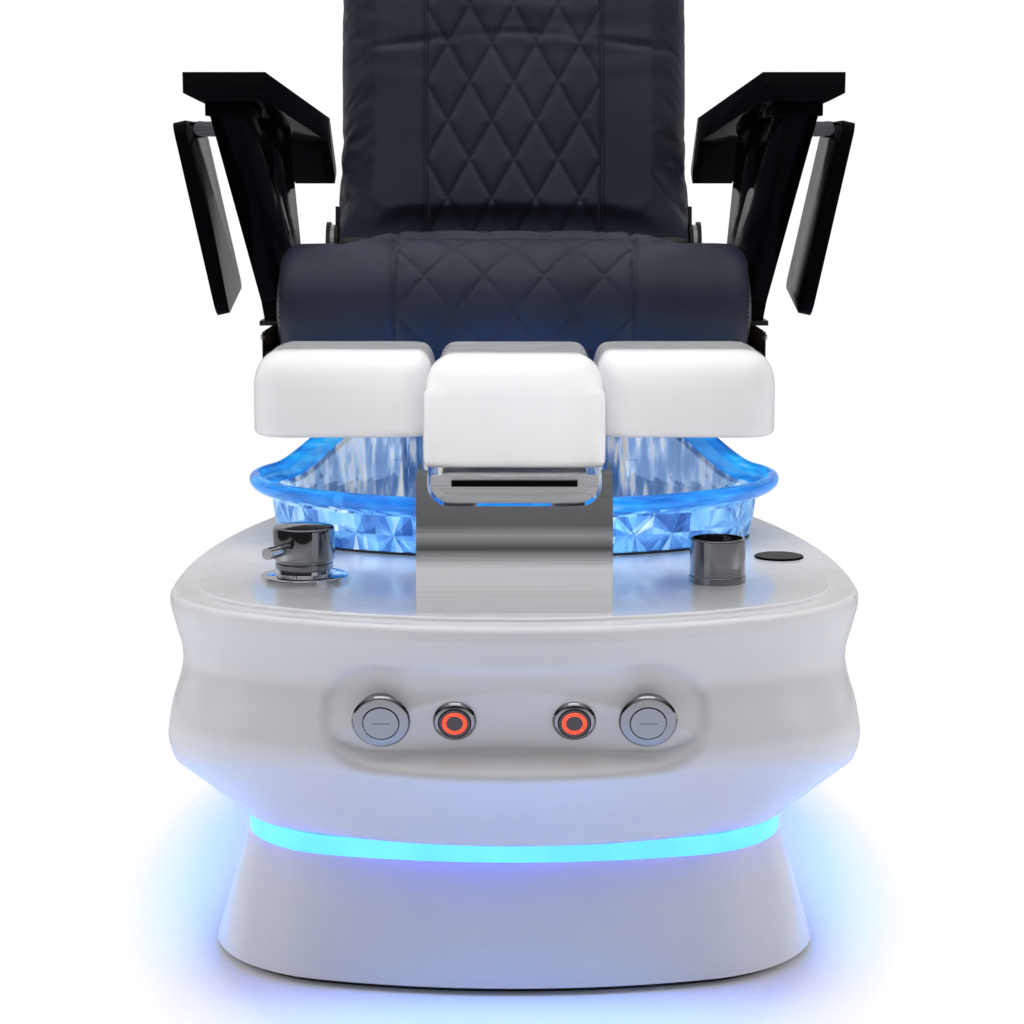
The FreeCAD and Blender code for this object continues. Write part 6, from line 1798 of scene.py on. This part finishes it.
LAMPS = (
    Lamp("overhead", (0.0, 0.0, 3.0), (0.0, 0.0, 0.4), (3.0, 2.2), 63.0),
    Lamp("pad_light", (0.0, -2.4, 1.0), (0.0, -0.42, 0.61), (0.6, 0.1), 0.40, spread=20.0),
    Lamp("left_strip", (-2.4, -0.8, 1.5), (0.0, 0.0, 0.6), (0.9, 2.2), 26.0),
    Lamp("right_strip", (2.4, -0.8, 1.5), (0.0, 0.0, 0.6), (0.9, 2.2), 26.0),
    Lamp("high_strip", (0.0, -2.2, 2.9), (0.0, 0.0, 0.9), (2.6, 0.12), 3.0, mirrored=True),
    Lamp("bowl_glow", (0.0, -0.03, 0.50), (0.0, 0.02, 1.0), (0.30, 0.10), 0.45, (0.02, 0.16, 1.0)),
    Lamp("left_halo", (-0.345, -0.05, 0.140), (-0.8, -0.05, 0.0), (0.8, 0.03), 0.85, (0.0, 0.40, 1.0)),
    Lamp("right_halo", (0.345, -0.05, 0.140), (0.8, -0.05, 0.0), (0.8, 0.03), 0.85, (0.0, 0.40, 1.0)),
    Lamp("front_halo", (0.0, -0.515, 0.140), (0.0, -1.0, 0.0), (0.5, 0.03), 0.6, (0.0, 0.36, 1.0)),
)


@dataclass
class Studio:
    """Pale floor, soft lamps, and the camera at the photograph's viewing angle."""

    camera_place: Point = (-0.0025, -2.775, 0.850)
    pitch: float = 8.535
    lens: float = 80.0
    sensor: float = 36.0
    floor_half: float = 3.6
    floor_drop: float = 0.0004
    floor_tone: Colour = (0.88, 0.88, 0.88)
    near: float = 0.385
    far: float = 0.470
    depth_share: float = 0.54
    fill: float = 0.17
    room: tuple[tuple[float, float], ...] = ((0.0, 0.03), (0.2, 0.015), (0.5, 0.16), (0.9, 0.75))
    coolness: float = 1.03
    behind: tuple[float, float] = (0.25, 0.55)
    behind_tone: Colour = (0.45, 0.45, 0.45)

    @staticmethod
    def seen(tree: NodeTree, rays: NodeOutputs) -> NodeSocket:
        """1 for rays that come to the eye straight or through glass, 0 for others."""
        return tree.number("MAXIMUM", rays["Is Camera Ray"], rays["Is Transmission Ray"])

    def floor(self) -> None:
        """Make the floor: real shading round the bench, plain white further out."""
        bm = bmesh.new()
        bmesh.ops.create_grid(bm, x_segments=1, y_segments=1, size=self.floor_half)
        bmesh.ops.translate(bm, vec=(0, 0, -self.floor_drop), verts=bm.verts)
        tree = ShaderTree("studio_floor")
        tree.dress(Base_Color=self.floor_tone, Roughness=0.9)
        length = tree.vector("LENGTH", tree.place((1.0, self.depth_share, 1.0)))
        reach = tree.span(length, 0.0, 1.0, self.near, self.far)
        share = tree.number("MULTIPLY", reach, self.seen(tree, tree.add("LightPath").outputs))
        white = tree.add("Emission", {"Color": (*WHITE, 1.0), "Strength": 1.0})
        mix = tree.add("MixShader", {0: share, 1: tree.surface.outputs["BSDF"], 2: white.outputs["Emission"]})
        tree.feed(tree.output.inputs["Surface"], mix.outputs["Shader"])
        finished(bm, "studio_floor", [tree.material], 0)

    def world(self) -> None:
        """Make the world: plain white to the eye, with an even fill light.

        Glossy surfaces mirror a pale grey behind the bench, and a room that is dark below in front.
        """
        world = bpy.data.worlds.new("studio")
        bpy.context.scene.world = world
        world.use_nodes = True
        tree = NodeTree(world.node_tree)
        way = tree.parts(tree.add("TexCoord").outputs["Generated"])
        tones = tuple((place, (tone, tone, tone * self.coolness)) for place, tone in self.room)
        room = tree.tint(way["Z"], tones)
        picture = tree.blend(tree.span(way["Y"], 0.0, 1.0, *self.behind), room, (*self.behind_tone, 1.0))
        rays = tree.add("LightPath").outputs
        even = tree.add("Background", {"Strength": self.fill})
        mirrored = tree.add("Background", {"Color": picture})
        fill = tree.add("MixShader", {0: rays["Is Glossy Ray"], 1: even.outputs[0], 2: mirrored.outputs[0]})
        white = tree.add("Background", {"Color": (*WHITE, 1.0), "Strength": 1.0})
        mix = tree.add("MixShader", {0: self.seen(tree, rays), 1: fill.outputs[0], 2: white.outputs[0]})
        tree.add("OutputWorld", {"Surface": mix.outputs[0]})

    def camera(self) -> None:
        """Set the camera."""
        data = bpy.data.cameras.new("camera")
        data.lens = self.lens
        data.sensor_width = self.sensor
        camera = bpy.data.objects.new("camera", data)
        camera.location = self.camera_place
        camera.rotation_euler = (math.radians(90.0 - self.pitch), 0.0, 0.0)
        bpy.context.scene.collection.objects.link(camera)
        bpy.context.scene.camera = camera

    def build(self) -> None:
        """Set the whole studio."""
        self.floor()
        self.world()
        for lamp in LAMPS:
            lamp.hang()
        self.camera()
        bpy.context.scene.view_settings.view_transform = "Standard"


def dress_nodes(frame: dict, palette: Palette) -> None:
    """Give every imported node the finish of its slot, with a finish of its own on a few pieces."""
    slots = {part["node"]: part["material_slot"] for part in frame["record"]["subparts"]}
    special = {
        "left_large_button": palette.nickel_painted_grey, "right_large_button": palette.nickel_painted_grey,
        "left_ring_button": palette.nickel_painted_red_shade, "right_ring_button": palette.nickel_painted_red_shade,
        "basin_light": palette.basin_glow,
        "footrest_carriage": palette[Slot.BRUSHED_STEEL], "footrest_cover": palette.bent_steel_painted_reflection,
        "sprayer_head": palette.chrome_painted_dark, "sprayer_ring": palette.chrome_painted_dark,
    }
    for name, obj in frame["nodes"].items():
        material = special.get(name, palette[Slot(slots[name])])
        obj.data.materials.clear()
        obj.data.materials.append(material)
        LOG.info("%s wears %s", name, material.name)


def main() -> None:
    """Build the bench's looks in order."""
    logging.basicConfig(level=logging.INFO, format="%(message)s")
    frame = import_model()
    palette = Palette()
    dress_nodes(frame, palette)
    makers = (Tub(), Basin(), Controls(), Mixer(), FootPads(), Arms(), SeatCushion(), BackCushion(),
              HeadPillow())
    for maker in makers:
        LOG.info("Building %s", type(maker).__name__)
        maker.build(palette)
    Studio().build()


if __name__ == "__main__":
    main()
